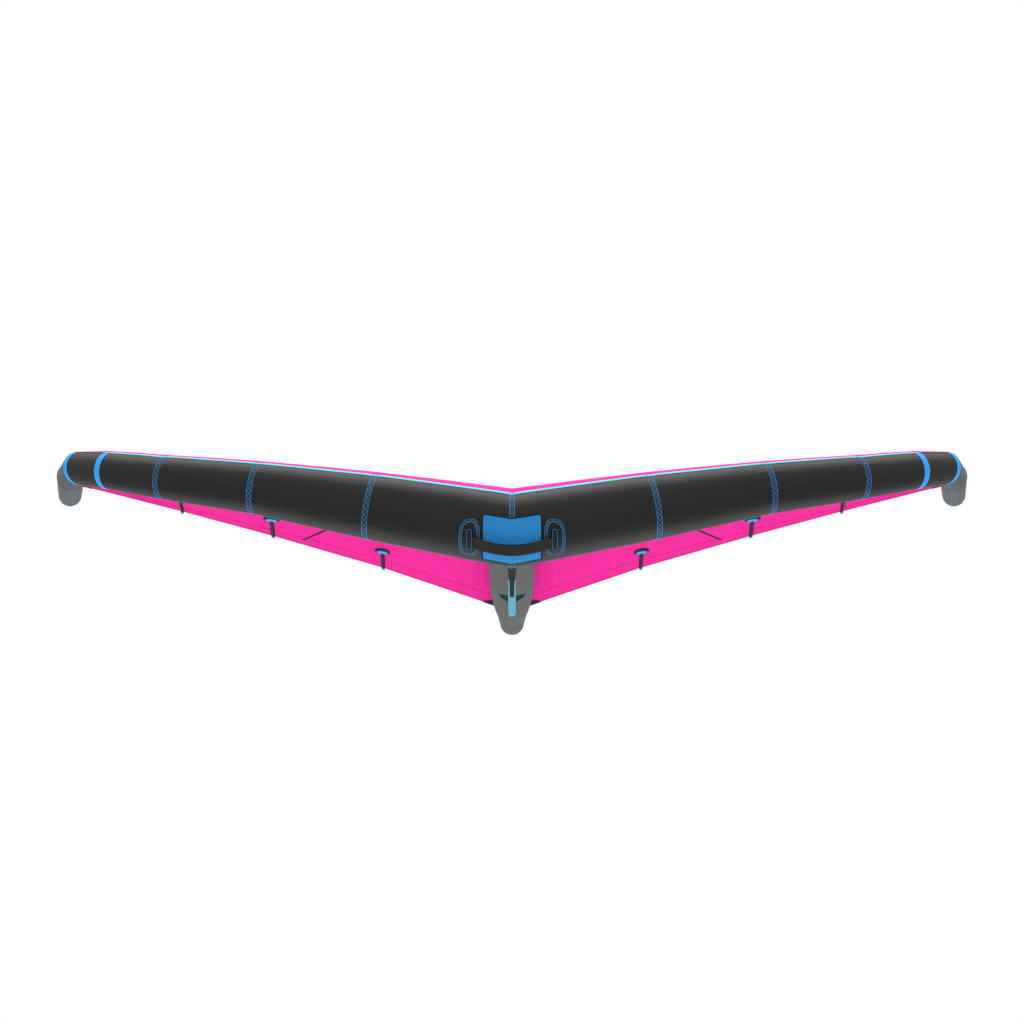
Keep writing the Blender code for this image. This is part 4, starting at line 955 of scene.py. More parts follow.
def grow(name, tree, paths, material, slot, body="wing", stands_for=(), **sizes):
    """Grows a tree on paths and keeps the result as a plain mesh that rides on a body."""
    points, outs, edges = [], [], []
    for line, directions, closed in paths:
        first = len(points)
        points += line
        outs += directions
        count = len(line)
        edges += [(first + k, first + (k + 1) % count) for k in range(count if closed else count - 1)]
    mesh = bpy.data.meshes.new(f"{name}_paths")
    mesh.from_pydata(points, edges, [])
    attribute = mesh.attributes.new("out", "FLOAT_VECTOR", "POINT")
    attribute.data.foreach_set("vector", np.array(outs).ravel())
    source = bpy.data.objects.new(f"{name}_source", mesh)
    scene.collection.objects.link(source)
    modifier = source.modifiers.new(tree, "NODES")
    modifier.node_group = TREES[tree]
    values = {**sizes, "Material": MATERIALS[material]}
    for item in TREES[tree].interface.items_tree:
        if item.in_out == "INPUT" and item.name in values:
            modifier[item.identifier] = values[item.name]
    bpy.context.view_layer.update()
    evaluated = source.evaluated_get(bpy.context.evaluated_depsgraph_get())
    grown = bpy.data.meshes.new_from_object(evaluated)
    bpy.data.objects.remove(source)
    grown.name = name
    obj = bpy.data.objects.new(name, grown)
    scene.collection.objects.link(obj)
    return place_piece(obj, slot, stands_for, body)


# %% [markdown]
# ## Thread
# Sail thread is bonded polyester, thick and a little glossy. It is drawn coarser than life, so that
# a seam reads as a fine bright line from across the room: a real thread is about 0.4 mm thick.

# %% Thread
THREAD_PLY = 0.0016


def thread(name, base, shade, **sockets):
    """Twisted thread: fine slanting ridges, which follow the piece's own coordinates, with painted shade in the
    grooves between them.
    """
    tree = start_material(name)
    ridges = object_texture(tree, "ShaderNodeTexWave", {"Scale": WAVE_PERIOD / THREAD_PLY, "Distortion": 1.0},
                            wave_type="BANDS", bands_direction="DIAGONAL")
    # The darker colour goes where the ridges are low: it is painted shade in the grooves.
    finish_material(tree, mixed(tree, ridges, linear(shade), linear(base)), ridges, 0.0003, sockets)


# The second colour of each thread is painted shade, laid in the grooves between its ridges.
THREAD = {"Roughness": 0.42, "Specular IOR Level": 0.4, "IOR": 1.5}
thread("thread_blue", "#459cd8", "#3786bf", **THREAD)
thread("thread_slate", "#767c92", "#6a7085", **THREAD)
thread("thread_black", "#1b1c1e", "#111213", **THREAD)
thread("thread_grey", "#5d6b66", "#4f5b57", **THREAD)
thread("thread_pink", "#c9228c", "#a81d75", **THREAD)
print("threads ready")

# %% [markdown]
# ## Seams of the front tube
# Each pair of panels is joined by a wide zig-zag seam, sewn twice so that the threads cross in
# diamonds. Zig-zags stretch with the cloth when the tube is blown up hard. At the fourth seam a
# blue tape covers the stitching, and a narrow one marks where black cloth meets grey.

# %% Tube seams
SEAM_WIDTH = 0.0120
SEAM_PITCH = 0.0190
SEAM_THREAD = 0.0009
SEAM_EDGE = 0.0080
SEAM_OFFSET = 0.0002
THREAD_LIFT = 0.0006
SEWN_STATIONS = (1, 2, 3)
RING_STEP = 4.0
RING_START = 180.0
WIDE_BAND_WIDTH = 0.021
TIP_BAND_WIDTH = 0.0165


def along_tube(station, distance, angle, lift=0.0):
    """A point on the sleeve at a distance from a station, towards the tip if positive."""
    bay = station if distance >= 0.0 and station < LAST_STATION else station - 1
    share = distance / BAY_LENGTHS[bay] + (0.0 if bay == station else 1.0)
    return tube_point(bay, share, angle, lift)


def ring_path(station, distance, lift, first=0.0):
    """A closed path round the tube at a distance from a station, from its first angle on."""
    angles = spaced(first, first + 360.0, RING_STEP)[:-1]
    return surface_path(lambda angle, up: along_tube(station, distance, angle, up),
                        [(angle,) for angle in angles], True, lift)


def grow_zigzags(name, paths, **sizes):
    """Two blue threads that cross in diamonds along each path."""
    for number, side in ((1, 1.0), (2, -1.0)):
        grow(f"{name}_{number}", "zigzag", paths, "thread_blue", "blue_tape", Side=side, **sizes)


zigzag_rings = both([ring_path(station, SEAM_OFFSET, THREAD_LIFT, RING_START) for station in SEWN_STATIONS])
zigzag_rings.append(ring_path(0, 0.0, THREAD_LIFT, RING_START))
grow_zigzags("tube_seam_zigzag", zigzag_rings, Pitch=SEAM_PITCH, Width=SEAM_WIDTH, Thread=SEAM_THREAD)
edge_rings = [ring_path(station, side * SEAM_EDGE, THREAD_LIFT) for station in SEWN_STATIONS for side in (1, -1)]
edge_rings = both([*edge_rings, ring_path(0, SEAM_EDGE, THREAD_LIFT)])
grow("tube_seam_edges", "stitches", edge_rings, "thread_blue", "blue_tape", Pitch=0.0062, Stitch=0.0058,
     Thread=SEAM_THREAD)
print("zig-zag seams on", len(zigzag_rings), "rings")

# %% [markdown]
# ## Bands and seam tape
# Tape is glued and sewn over the busiest seams. It is cloth too, so it lies on the sleeve, sinks
# with it where the seam pinches it, and is made as a grid like the sleeves are. One bright tape
# runs from tip to tip where the canopy leaves the tube.

# %% Bands round the tube
TAPE_THICKNESS = 0.0008
TAPE_LIFT = 0.0003
BAND_SIDES = 96
BAND_STEP = 0.0022
SEAM_TAPE_WIDTH = 0.0210
SEAM_TAPE_TAPER = 0.95
SEAM_TAPE_COLUMNS = (0.0, 0.08, 0.5, 0.92, 1.0)
SEAM_TAPE_BAYS = 4
BANDS = {"wide_band": (4, -0.6 * WIDE_BAND_WIDTH, 0.4 * WIDE_BAND_WIDTH),
         "tip_band": (5, 0.0005 - TIP_BAND_WIDTH, 0.0005)}


def band_grids(station, first, last):
    """The two faces of a band round the tube, between two distances from a seam."""
    angles = [360.0 * k / BAND_SIDES for k in range(BAND_SIDES)]
    return [[[along_tube(station, distance, angle, TAPE_LIFT + lift) for angle in angles]
             for distance in spaced(first, last, BAND_STEP)] for lift in (TAPE_THICKNESS, 0.0)]


for name, place in BANDS.items():
    add_pair(name, *band_grids(*place), "bright_blue_tape", "blue_tape", wrap=True, stands_for=f"le_{name}")


def seam_tape_row(bay, share, lift):
    """One row of the tape in front of the canopy's front edge."""
    radius = RADII[bay] + (RADII[bay + 1] - RADII[bay]) * share
    width = SEAM_TAPE_WIDTH * (1.0 - SEAM_TAPE_TAPER * (bay + share) / LAST_STATION)
    turns = [math.degrees((TAPE_LIFT + width * column) / radius) for column in SEAM_TAPE_COLUMNS]
    return [tube_point(bay, share, RIB_ATTACH_ANGLES[0] - turn, lift) for turn in turns]


tape_faces, tip_faces = [], []
for lift in (TAPE_LIFT + TAPE_THICKNESS, TAPE_LIFT):
    rows = [seam_tape_row(bay, share, lift) for bay in range(SEAM_TAPE_BAYS) for share in bay_shares(bay)[:-1]]
    rows.append(seam_tape_row(SEAM_TAPE_BAYS - 1, 1.0, lift))
    tape_faces.append(mirrored(rows[:0:-1]) + rows)
    tip_faces.append([seam_tape_row(SEAM_TAPE_BAYS, share, lift) for share in bay_shares(SEAM_TAPE_BAYS)[4:]])
add_pair("seam_tape_tip", *tip_faces, "tube_dacron_black", "black_dacron")
piece = cloth_object("seam_tape", *tape_faces, "bright_cyan_tape")
place_piece(piece, "cyan_tape", ["canopy_seam_tape"])
print("seam tape of", len(tape_faces[0]), "rows")

# %% [markdown]
# ## The hem and the canopy's seams
# The trailing edge is bound with a folded tape, which keeps it from fluttering and fraying. The
# canopy's cloths are joined by flat seams, whose doubled cloth shows as darker lines on both faces.

# %% Hem and canopy seams
HEM_FOLD = ((-0.006, 0.9), (0.0, 1.0), (0.0082, 0.75), (0.0096, 0.0), (0.0082, -0.75), (0.0, -1.0),
            (-0.006, -0.9))
HEM_SIDES = len(HEM_FOLD)
HEM_HALF = CANOPY_THICKNESS / 2 + 0.0008
HEM_RISE = 0.15
HEM_LAST_PLACE = 6.98
SEAM_LINE_WIDTH = 0.0022
SEAM_LINE_THICKNESS = 0.0005
SEAM_LINE_LIFT = 0.0002
SEAM_LINE_START = 0.004
SEAM_LINE_STEP = 0.02


def hem_ring(place):
    """The binding's section round the trailing edge."""
    end = cloth_point(place, 1.0)
    back = end - cloth_point(place, 0.98)
    back.z = 0.0
    back.normalize()
    return [end + back * reach + UP * HEM_HALF * height + UP * HEM_RISE * max(-reach, 0.0)
            for reach, height in HEM_FOLD]


def canopy_face(side):
    """One face of the canopy as a surface: 1 is the upper one and -1 the underside."""
    return lambda place, share, lift: canopy_point(place, share, side * (CANOPY_THICKNESS / 2 + lift))


hem_places = spaced(-HEM_LAST_PLACE, HEM_LAST_PLACE, PLACE_STEP / 2)
points = [point for place in hem_places for point in hem_ring(place)]
hem_faces, hem_uvs = grid_faces([hem_ring(place) for place in hem_places], wrap=True)
hem_faces += [list(range(HEM_SIDES))[::-1], list(range(len(points) - HEM_SIDES, len(points)))]
hem_uvs += [[(0.0, 0.0)] * HEM_SIDES] * 2
hem = mesh_object("edge_binding", points, hem_faces, hem_uvs, "canopy_edge_band")
place_piece(hem, "pink_ripstop", ["trailing_edge_hem"])

seam_lines = []
for face in (canopy_face(1.0), canopy_face(-1.0)):
    for rib in BATTEN_RIBS:
        shares = spaced(SEAM_LINE_START, band_start(rib), SEAM_LINE_STEP)
        seam_lines += both([surface_path(face, [(rib, share) for share in shares], lift=SEAM_LINE_LIFT)])
    places = [(place, band_start(place)) for place in hem_places]
    seam_lines.append(surface_path(face, places, lift=SEAM_LINE_LIFT))
places = [(0.0, share) for share in spaced(SEAM_LINE_START, 1.0, SEAM_LINE_STEP)]
seam_lines.append(surface_path(canopy_face(1.0), places, lift=SEAM_LINE_LIFT))
grow("canopy_seam_lines", "tape", seam_lines, "canopy_seam_cloth", "pink_band",
     Width=SEAM_LINE_WIDTH, Thickness=SEAM_LINE_THICKNESS)
print(len(seam_lines), "canopy seams")

# %% [markdown]
# ## Patches
# A patch is cut with a hot knife to a rounded outline and sewn on where something rubs or pulls.
# Its mesh is rings of one outline round a middle point, laid on the surface that carries it. The
# last ring turns down, because heat rounds the cut edge. Its UVs are the flat outline itself.

# %% Patches on any surface
PATCH_RINGS = (0.0, 0.22, 0.44, 0.66, 0.84, 0.95, 0.985, 1.0)
PATCH_THICKNESS = 0.0012
PATCH_LIFT = 0.0004
PATCH_EDGE_SHARE = 0.35
OUTLINE_POINTS = 96


def rounded_outline(half_width, half_length, squareness):
    """A closed outline between an ellipse, at 2, and a rectangle, at much more."""
    points = []
    for k in range(OUTLINE_POINTS):
        turn = 2 * math.pi * k / OUTLINE_POINTS
        across, back = math.cos(turn), math.sin(turn)
        reach = (abs(across) ** squareness + abs(back) ** squareness) ** (-1 / squareness)
        points.append((half_width * across * reach, half_length * back * reach))
    return points


def patch_grids(surface, outline, lift=PATCH_LIFT, thickness=PATCH_THICKNESS):
    """The two faces of a patch and its flat pattern."""
    faces = []
    for top in (True, False):
        rows = []
        for ring in PATCH_RINGS:
            height = lift + (thickness * (PATCH_EDGE_SHARE if ring == 1.0 else 1.0) if top else 0.0)
            rows.append([surface(a * ring, b * ring, height) for a, b in (outline if ring else outline[:1])])
        faces.append(rows)
    flat = [[(a * ring, b * ring) for a, b in (outline if ring else outline[:1])] for ring in PATCH_RINGS]
    return faces, flat


def outline_path(surface, outline, lift):
    return surface_path(surface, outline, closed=True, lift=lift)


# %% [markdown]
# ## Patches at the front
# The blue patch takes the wear where the wing is dragged over sand. It crosses the fold between
# the two halves of the tube. The dark ovals on both sides of it spread the pull of the grab handle,
# and are sewn down with the same diamonds as the seams, between two straight rows.

# %% Chafe patch and handle patches
STRAP_THICKNESS = 0.0026
CHAFE_HALF_WIDTH = 0.093
CHAFE_SQUARENESS = 28.0
CHAFE_RAISED = 0.0016
CHAFE_BINDING_OUT = 0.0008
OVAL_SKEW = 0.30
OVAL_SQUARENESS = 2.9
CHAFE_ANGLES = (11.0, -66.5)
OVAL_ACROSS = 0.136
OVAL_HALF_WIDTH = 0.035
OVAL_ANGLES = (1.0, -65.0)
OVAL_ROW_INSETS = (0.0018, 0.0106)
OVAL_ZIGZAG_INSET = 0.0062
ANCHOR_HALF = (0.0096, 0.0360)
ANCHOR_ROW_HALF = (0.0076, 0.0335)
ANCHOR_ROW_LIFT = 0.0046
ANCHOR_SQUARENESS = 14.0
PATCH_RADIUS = 0.1165


def front_surface(across, angles, pinched=1.0, raised=0.0):
    """The front of the tube round a place, as a surface in metres: across, up and lift."""
    middle = sum(angles) / 2
    return lambda a, b, lift: middle_point(across + a, middle + math.degrees(b / PATCH_RADIUS), lift + raised,
                                           pinched)


def half_height(angles):
    """Half of a patch's height in metres, from its two angles on the tube."""
    return math.radians(abs(angles[0] - angles[1]) / 2) * PATCH_RADIUS


def chafe_outline(out=0.0):
    """The outline of the chafe patch, or one that lies outside it."""
    return rounded_outline(CHAFE_HALF_WIDTH + out, half_height(CHAFE_ANGLES) + out, CHAFE_SQUARENESS)


def oval_outline(inset=0.0):
    """The outline of an oval, or one that lies inside it."""
    return rounded_outline(OVAL_HALF_WIDTH - inset, half_height(OVAL_ANGLES) - inset, OVAL_SQUARENESS)


chafe_surface = front_surface(0.0, CHAFE_ANGLES, 0.0, CHAFE_RAISED)
faces, flat = patch_grids(chafe_surface, chafe_outline())
chafe = cloth_object("patch_chafe", *faces, "patch_dacron_blue", wrap=True, flat=flat)
place_piece(chafe, "blue_patch", ["chafe_patch"])
grow("patch_chafe_edge", "tape", [outline_path(chafe_surface, chafe_outline(CHAFE_BINDING_OUT), 0.0002)],
     "black_cordura", "black_webbing", Width=0.0040, Thickness=0.0022)

flat_front = front_surface(OVAL_ACROSS, OVAL_ANGLES)


def oval_surface(a, b, lift):
    """The front of the tube round a grab handle's end. It is upright, although the tube rises outwards."""
    return flat_front(a, b - OVAL_SKEW * a, lift)


faces, flat = patch_grids(oval_surface, oval_outline())
add_pair("patch_handle", *faces, "tube_dacron_black", "black_dacron", wrap=True, stands_for="handle_patch",
         flat=flat)
sewn = PATCH_LIFT + PATCH_THICKNESS + 0.0003
outline = oval_outline(OVAL_ZIGZAG_INSET)
outline = outline[OUTLINE_POINTS // 2:] + outline[:OUTLINE_POINTS // 2]
grow_zigzags("patch_handle_zigzag", both([outline_path(oval_surface, outline, sewn)]),
             Pitch=SEAM_PITCH, Width=0.0068, Thread=0.0006)
straight = [outline_path(oval_surface, oval_outline(inset), sewn) for inset in OVAL_ROW_INSETS]
anchor_row = rounded_outline(*ANCHOR_ROW_HALF, ANCHOR_SQUARENESS)
straight.append(outline_path(oval_surface, anchor_row, sewn + ANCHOR_ROW_LIFT))
grow("patch_handle_stitches", "stitches", both(straight), "thread_blue", "blue_tape", Pitch=0.0060,
     Stitch=0.0056, Thread=0.0007)
faces, flat = patch_grids(oval_surface, rounded_outline(*ANCHOR_HALF, ANCHOR_SQUARENESS),
                          lift=sewn + STRAP_THICKNESS + 0.0004)
add_pair("patch_handle_anchor", *faces, "black_cordura", "black_webbing", wrap=True, flat=flat)
print("patches at the front")

# %% [markdown]
# ## The grab handle
# A strap of woven webbing, sewn flat on the ovals and standing off the tube in between, so that a
# hand fits behind it. It swings about the line between its ends, as the joint does.

# %% Grab handle
HANDLE_HALF_LENGTH = 0.130
HANDLE_ANGLE = -35.5
HANDLE_REACH = 0.080
HANDLE_DROP = math.radians(25.6)
HANDLE_TAPER_REACH = 0.036
STRAP_WIDTH = 0.038
STRAP_COLUMNS = (-1.0, -0.93, -0.6, -0.2, 0.2, 0.6, 0.93, 1.0)
STRAP_END = 0.137
STRAP_STEP = 0.003
STRAP_LANDING = 0.012
STRAP_EDGE_SHARE = 0.4
JOINTS = {joint["name"]: joint for joint in frame["joints"]}
HANDLE_PIVOT = Vector(JOINTS["handle_swing"]["pos_m"])


def strap_section(across):
    """The strap's middle, and the ways across and out of its webbing, at a distance from the middle."""
    outward = Vector((0.0, -math.cos(HANDLE_DROP), -math.sin(HANDLE_DROP)))
    broad = Vector((0.0, -math.sin(HANDLE_DROP), math.cos(HANDLE_DROP)))
    stretch = math.pi / 2 / HANDLE_HALF_LENGTH
    near = min(across, HANDLE_HALF_LENGTH)
    reach = HANDLE_REACH * math.cos(near * stretch)
    slope = -HANDLE_REACH * stretch * math.sin(near * stretch)
    middle = HANDLE_PIVOT + outward * reach + Vector((near, 0.0, 0.0))
    flat = min(1.0, reach / HANDLE_TAPER_REACH)
    flat = flat * flat * (3.0 - 2.0 * flat)
    on_tube = middle_point(across, HANDLE_ANGLE, sewn + 0.0001 + STRAP_THICKNESS / 2)
    up_tube = (middle_point(across, HANDLE_ANGLE + 4.0) - middle_point(across, HANDLE_ANGLE - 4.0)).normalized()
    along = (Vector((1.0, 0.0, 0.0)) + outward * slope).normalized()
    middle = on_tube.lerp(middle, min(1.0, reach / STRAP_LANDING)) if across < HANDLE_HALF_LENGTH else on_tube
    broad = up_tube.lerp(broad, flat).normalized()
    return middle, broad, along.cross(broad).normalized()


def strap_grids():
    """The two faces of the right half of the strap."""
    faces = []
    for side in (0.5, -0.5):
        rows = []
        for across in spaced(0.0, STRAP_END, STRAP_STEP):
            middle, broad, face = strap_section(across)
            rows.append([middle + broad * STRAP_WIDTH / 2 * column
                         + face * STRAP_THICKNESS * side * (STRAP_EDGE_SHARE if abs(column) == 1.0 else 1.0)
                         for column in STRAP_COLUMNS])
        faces.append(rows)
    return faces


for side, sign in (("right", 1.0), ("left", -1.0)):
    grids = strap_grids() if sign > 0 else [mirrored(rows) for rows in strap_grids()]
    strap = cloth_object(f"grab_handle_{side}", *grids, "strap_webbing_black")
    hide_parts("front_handle")
    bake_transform(strap)
print("handle pivots at", [round(value, 4) for value in HANDLE_PIVOT])

# %% [markdown]
# ## Under the strut
# A boom is strapped along the strut's underside. It lies on a bright moulded landing strip, and a
# dark tapering tongue in front of it takes its straps. Dark patches behind the first seam stop
# the boom's fastening from rubbing through the cloth. The strip ends 13 mm and the tongue 23 mm
# behind those of the solid model.

# %% Moulded strip
STRIP_RIB = 0.004


def moulded_plastic(name, base, shade, rib, depth, **sockets):
    """Moulded plastic of one colour, a little cloudy, with fine ribs across it."""
    tree = start_material(name)
    ribs = object_texture(tree, "ShaderNodeTexWave", {"Scale": WAVE_PERIOD / rib}, wave_type="BANDS",
                          bands_direction="Y")
    cloudy = object_texture(tree, "ShaderNodeTexNoise", {"Scale": 60.0, "Detail": 4.0})
    finish_material(tree, mixed(tree, cloudy, linear(base), linear(shade)), ribs, depth, sockets)


moulded_plastic("moulded_tpu_cyan", "#3fafcb", "#39a3c0", STRIP_RIB, 0.0003, IOR=1.5, Roughness=0.42)
print("ribs", STRIP_RIB * 1000, "mm apart")

# %% Landing strip, tongue and side patches
STRIP_PLACES = (1.098, 1.588)
STRIP_ROUND = 0.044
STRIP_HALF_WIDTH = 0.013
STRIP_THICKNESS = 0.003
TONGUE_PLACES = (0.250, 1.318)
TONGUE_ROUND = 0.026
TONGUE_THICKNESS = 0.002
TONGUE_SHARES = (0.0, 0.62, 0.675, 0.78, 0.82, 0.90, 1.0)
TONGUE_HALF_WIDTHS = (0.022, 0.0180, 0.0141, 0.0112, 0.0085, 0.0075, 0.0070)
LONG_COLUMNS = (-1.0, -0.95, -0.7, -0.35, 0.0, 0.35, 0.7, 0.95, 1.0)
LONG_EDGE_SHARE = 0.4
LONG_STEP = 0.006
TONGUE_CLIMB = 0.012


def row_back(distance):
    """A distance behind the tube's middle, in the row's own Y."""
    return distance + WING_ORIGIN.y


def under_strut(distance, across, lift):
    """A point under the strut, by its distances behind the tube's middle and from the middle line."""
    radius = strut_section(row_back(distance))[1]
    return strut_point(row_back(distance), math.degrees(across / radius), lift)


def round_end(distance, end, length):
    """The width near a rounded end, as a share of the full one."""
    left = min(max((end - distance) / length, 0.0), 1.0)
    return math.sqrt(max(1.0 - (1.0 - left) ** 2, 0.01))


def long_grids(places, half_width, thickness, lift):
    """The two faces of a long thin piece under the strut. Half width and lift are functions of the place."""
    faces = []
    for top in (True, False):
        rows = []
        for distance in places:
            raised = [lift(distance) + (thickness * (LONG_EDGE_SHARE if abs(column) == 1.0 else 1.0) if top else 0.0)
                      for column in LONG_COLUMNS]
            rows.append([under_strut(distance, half_width(distance) * column, height)
                         for column, height in zip(LONG_COLUMNS, raised)])
        faces.append(rows)
    return faces


def end_places(first, last, near):
    """Places along a piece, closer together at its round end."""
    return spaced(first, last - near, LONG_STEP) + [last - near * (1.0 - k / 8) ** 1.6 for k in range(1, 9)]


def tongue_width(distance):
    """Half of the tongue's width."""
    share = (distance - TONGUE_PLACES[0]) / (TONGUE_PLACES[1] - TONGUE_PLACES[0])
    half = smooth_between(TONGUE_SHARES, TONGUE_HALF_WIDTHS, share)
    return half * round_end(distance, TONGUE_PLACES[1], TONGUE_ROUND)


def tongue_lift(distance):
    """The tongue climbs on to the strip in front of the strip's end."""
    rise = min(max((distance - STRIP_PLACES[0] + TONGUE_CLIMB) / TONGUE_CLIMB, 0.0), 1.0)
    return PATCH_LIFT + (STRIP_THICKNESS + 0.0002) * rise * rise * (3.0 - 2.0 * rise)


grids = long_grids(end_places(*STRIP_PLACES, STRIP_ROUND),
                   lambda distance: STRIP_HALF_WIDTH * round_end(distance, STRIP_PLACES[1], STRIP_ROUND),
                   STRIP_THICKNESS, lambda distance: PATCH_LIFT)
strip = cloth_object("boom_strip", *grids, "moulded_tpu_cyan")
place_piece(strip, "cyan_strip", ["boom_landing_strip"])
grids = long_grids(end_places(*TONGUE_PLACES, TONGUE_ROUND), tongue_width, TONGUE_THICKNESS, tongue_lift)
tongue = cloth_object("boom_strap_tongue", *grids, "black_cordura")
place_piece(tongue, "black_webbing", ["boom_tongue"])

SIDE_PATCH_START = SEAM_1_BACK - WING_ORIGIN.y + 0.0006
SIDE_PATCH_LENGTH = (0.075, 0.020)
SIDE_PATCH_SWEEP = 0.018
SIDE_PATCH_ANGLES = (10.0, 32.0)


def side_patch_point(outward, along, lift):
    """A place on a side patch: outward runs away from the strip and along runs back, both from 0 to 1."""
    angle = SIDE_PATCH_ANGLES[0] + (SIDE_PATCH_ANGLES[1] - SIDE_PATCH_ANGLES[0]) * outward
    length = SIDE_PATCH_LENGTH[0] + (SIDE_PATCH_LENGTH[1] - SIDE_PATCH_LENGTH[0]) * outward
    return strut_point(row_back(SIDE_PATCH_START + SIDE_PATCH_SWEEP * outward + length * along), angle, lift)


grids = [[[side_patch_point(outward, along, PATCH_LIFT + lift) for along in spaced(0.0, 1.0, 0.1)]
          for outward in spaced(0.0, 1.0, 0.1)] for lift in (PATCH_THICKNESS, 0.0)]
add_pair("patch_strut_side", *grids, "black_cordura", "black_webbing", stands_for="strut_side_patch")
for name, (first, last) in {"strip": STRIP_PLACES, "tongue": TONGUE_PLACES}.items():
    print(name, round(last - first, 3), "m")

# %% [markdown]
# ## Stitching on the strut and the tips
# Straight rows of thread close the strut's three lengths, in blue and in slate, and the tips' grey
# panels. Only the outer thread shows, laid down in single stitches with a gap at every needle hole.

# %% Straight seams
FINE_STITCHES = {"Pitch": 0.0052, "Stitch": 0.0047, "Thread": 0.0008}
DART = ((50.0, 0.004), (33.0, 0.046), (10.5, 0.090))
DART_PARTS = 8


def strut_path(seam_back, places):
    """A path on the strut through places: an angle, and a distance behind one of its seams."""
    seam = seam_back - WING_ORIGIN.y
    return surface_path(lambda angle, back, up: strut_point(row_back(seam + back), angle, up), places, lift=0.0004)


ring_places = [(angle, 0.0) for angle in spaced(-150.0, 150.0, 3.0)]
dart_places = []
for (a0, d0), (a1, d1) in zip(DART, DART[1:]):
    dart_places += [(a0 + (a1 - a0) * k / DART_PARTS, d0 + (d1 - d0) * k / DART_PARTS) for k in range(DART_PARTS)]
dart_places.append(DART[-1])
strut_rows_sewn = [strut_path(SEAM_1_BACK, ring_places), *both([strut_path(SEAM_1_BACK, dart_places)])]
grow("strut_stitches", "stitches", strut_rows_sewn, "thread_blue", "blue_tape", **FINE_STITCHES)
grow("strut_end_stitches", "stitches", [strut_path(SEAM_2_BACK, ring_places)], "thread_slate", "blue_tape",
     **FINE_STITCHES)


def bay_line(bay, first, last, angle_first, angle_last, lift=0.0005):
    """A path along a bay, whose angle may turn on the way."""
    return surface_path(lambda share, angle, up: tube_point(bay, share, angle, up),
                        [(share, angle_first + (angle_last - angle_first) * (share - first) / (last - first))
                         for share in spaced(first, last, 0.04)], lift=lift)


tip_rows = [bay_line(5, 0.04, 1.0, 72.0, 88.0), ring_path(6, 0.0003, lift=0.0009)]
tip_rows += [bay_line(6, 0.03, 1.0, angle, angle) for angle in (-101.0, -90.0, -79.0)]
grow("tip_stitches", "stitches", both(tip_rows), "thread_blue", "blue_tape", **FINE_STITCHES)
print(len(strut_rows_sewn), "rows on the strut,", 2 * len(tip_rows), "on the tips")

# %% [markdown]
# ## Batten pockets
# A glassfibre batten in a sewn pocket keeps the trailing edge from curling. The pocket is a flat
# tape with a tunnel along its middle. A dark oval patch with a blue heart spreads the load at its
# front end, and a short blue tab closes its back end at the hem.

# %% Batten pockets
POCKET_LENGTHS = (0.154, 0.159, 0.120)
POCKET_PROFILE = ((-0.0085, 0.4), (-0.0079, 0.9), (-0.0068, 1.2), (-0.0058, 4.6), (-0.0046, 5.5), (0.0, 5.8),
                  (0.0046, 5.5), (0.0058, 4.6), (0.0068, 1.2), (0.0079, 0.9), (0.0085, 0.4))
POCKET_WALL = 0.0007
END_PATCH_HALF = (0.0315, 0.030)
END_PATCH_OVERLAP = 0.006
HEART_HALF = (0.0225, 0.0150)
HEART_SHIFT = 0.0095
HEART_LIFT = 0.0027
PATCH_SKEW = 0.6
END_PATCH_THICKNESS = 0.0022
TAB_COLUMNS = (-0.0068, -0.006, 0.0, 0.006, 0.0068)
TAB_PLACES = (-0.004, 0.0092)
TAB_LIFTS = (0.0066, 0.0008)
POCKET_THREAD_LIFT = 0.0059


def under_rib(rib, distance, skew=0.0):
    """The canopy's underside round a place on a rib, as a surface in metres: across, back and lift."""
    share = share_at(rib, distance)
    sides = [cloth_point(rib + step, share) - cloth_point(rib, share) for step in (-0.05, 0.05)]
    reach = [side.length / 0.05 for side in sides]
    slope = [abs(side.y) / side.length for side in sides]
    chord = chord_at(rib)

    def surface(a, b, lift):
        k = int(a > 0.0)
        back = share + (b + skew * slope[k] * a) / chord
        return canopy_point(rib + a / reach[k], back, -(CANOPY_THICKNESS / 2 + lift))

    return surface


pocket_lines = []
for number, (rib, length) in enumerate(zip(BATTEN_RIBS, POCKET_LENGTHS), start=1):
    surface = under_rib(rib, 0.0)
    places = spaced(-length - 0.004, 0.001, 0.006)
    outer = [[surface(a, b, height / 1000) for a, height in POCKET_PROFILE] for b in places]
    inner = [[surface(a, b, max(height / 1000 - POCKET_WALL, 0.0002)) for a, height in POCKET_PROFILE]
             for b in places]
    add_pair(f"pocket_{number}", outer, inner, "black_cordura", "black_webbing",
             stands_for=f"batten_pocket_{number}")
    patch_middle = length - END_PATCH_OVERLAP + END_PATCH_HALF[1]
    faces, flat = patch_grids(under_rib(rib, patch_middle, PATCH_SKEW), rounded_outline(*END_PATCH_HALF, 2.2),
                              thickness=END_PATCH_THICKNESS)
    add_pair(f"pocket_patch_{number}", *faces, "black_cordura", "black_webbing", wrap=True, flat=flat)
    faces, flat = patch_grids(under_rib(rib, patch_middle - HEART_SHIFT, PATCH_SKEW),
                              rounded_outline(*HEART_HALF, 2.1), lift=HEART_LIFT, thickness=0.0008)
    add_pair(f"pocket_heart_{number}", *faces, "bright_blue_tape", "blue_patch", wrap=True, flat=flat)
    tab = [[[surface(a, b, lift) for a in TAB_COLUMNS] for b in spaced(*TAB_PLACES, 0.0022)] for lift in TAB_LIFTS]
    add_pair(f"pocket_tab_{number}", *tab, "bright_blue_tape", "blue_tape")
    middle_row = [(0.0, b) for b in spaced(-length, -0.004, 0.01)]
    pocket_lines.append(surface_path(surface, middle_row, lift=POCKET_THREAD_LIFT))
grow("pocket_stitches", "stitches", both(pocket_lines), "thread_grey", "black_webbing", Pitch=0.0050,
     Stitch=0.0046, Thread=0.0005)
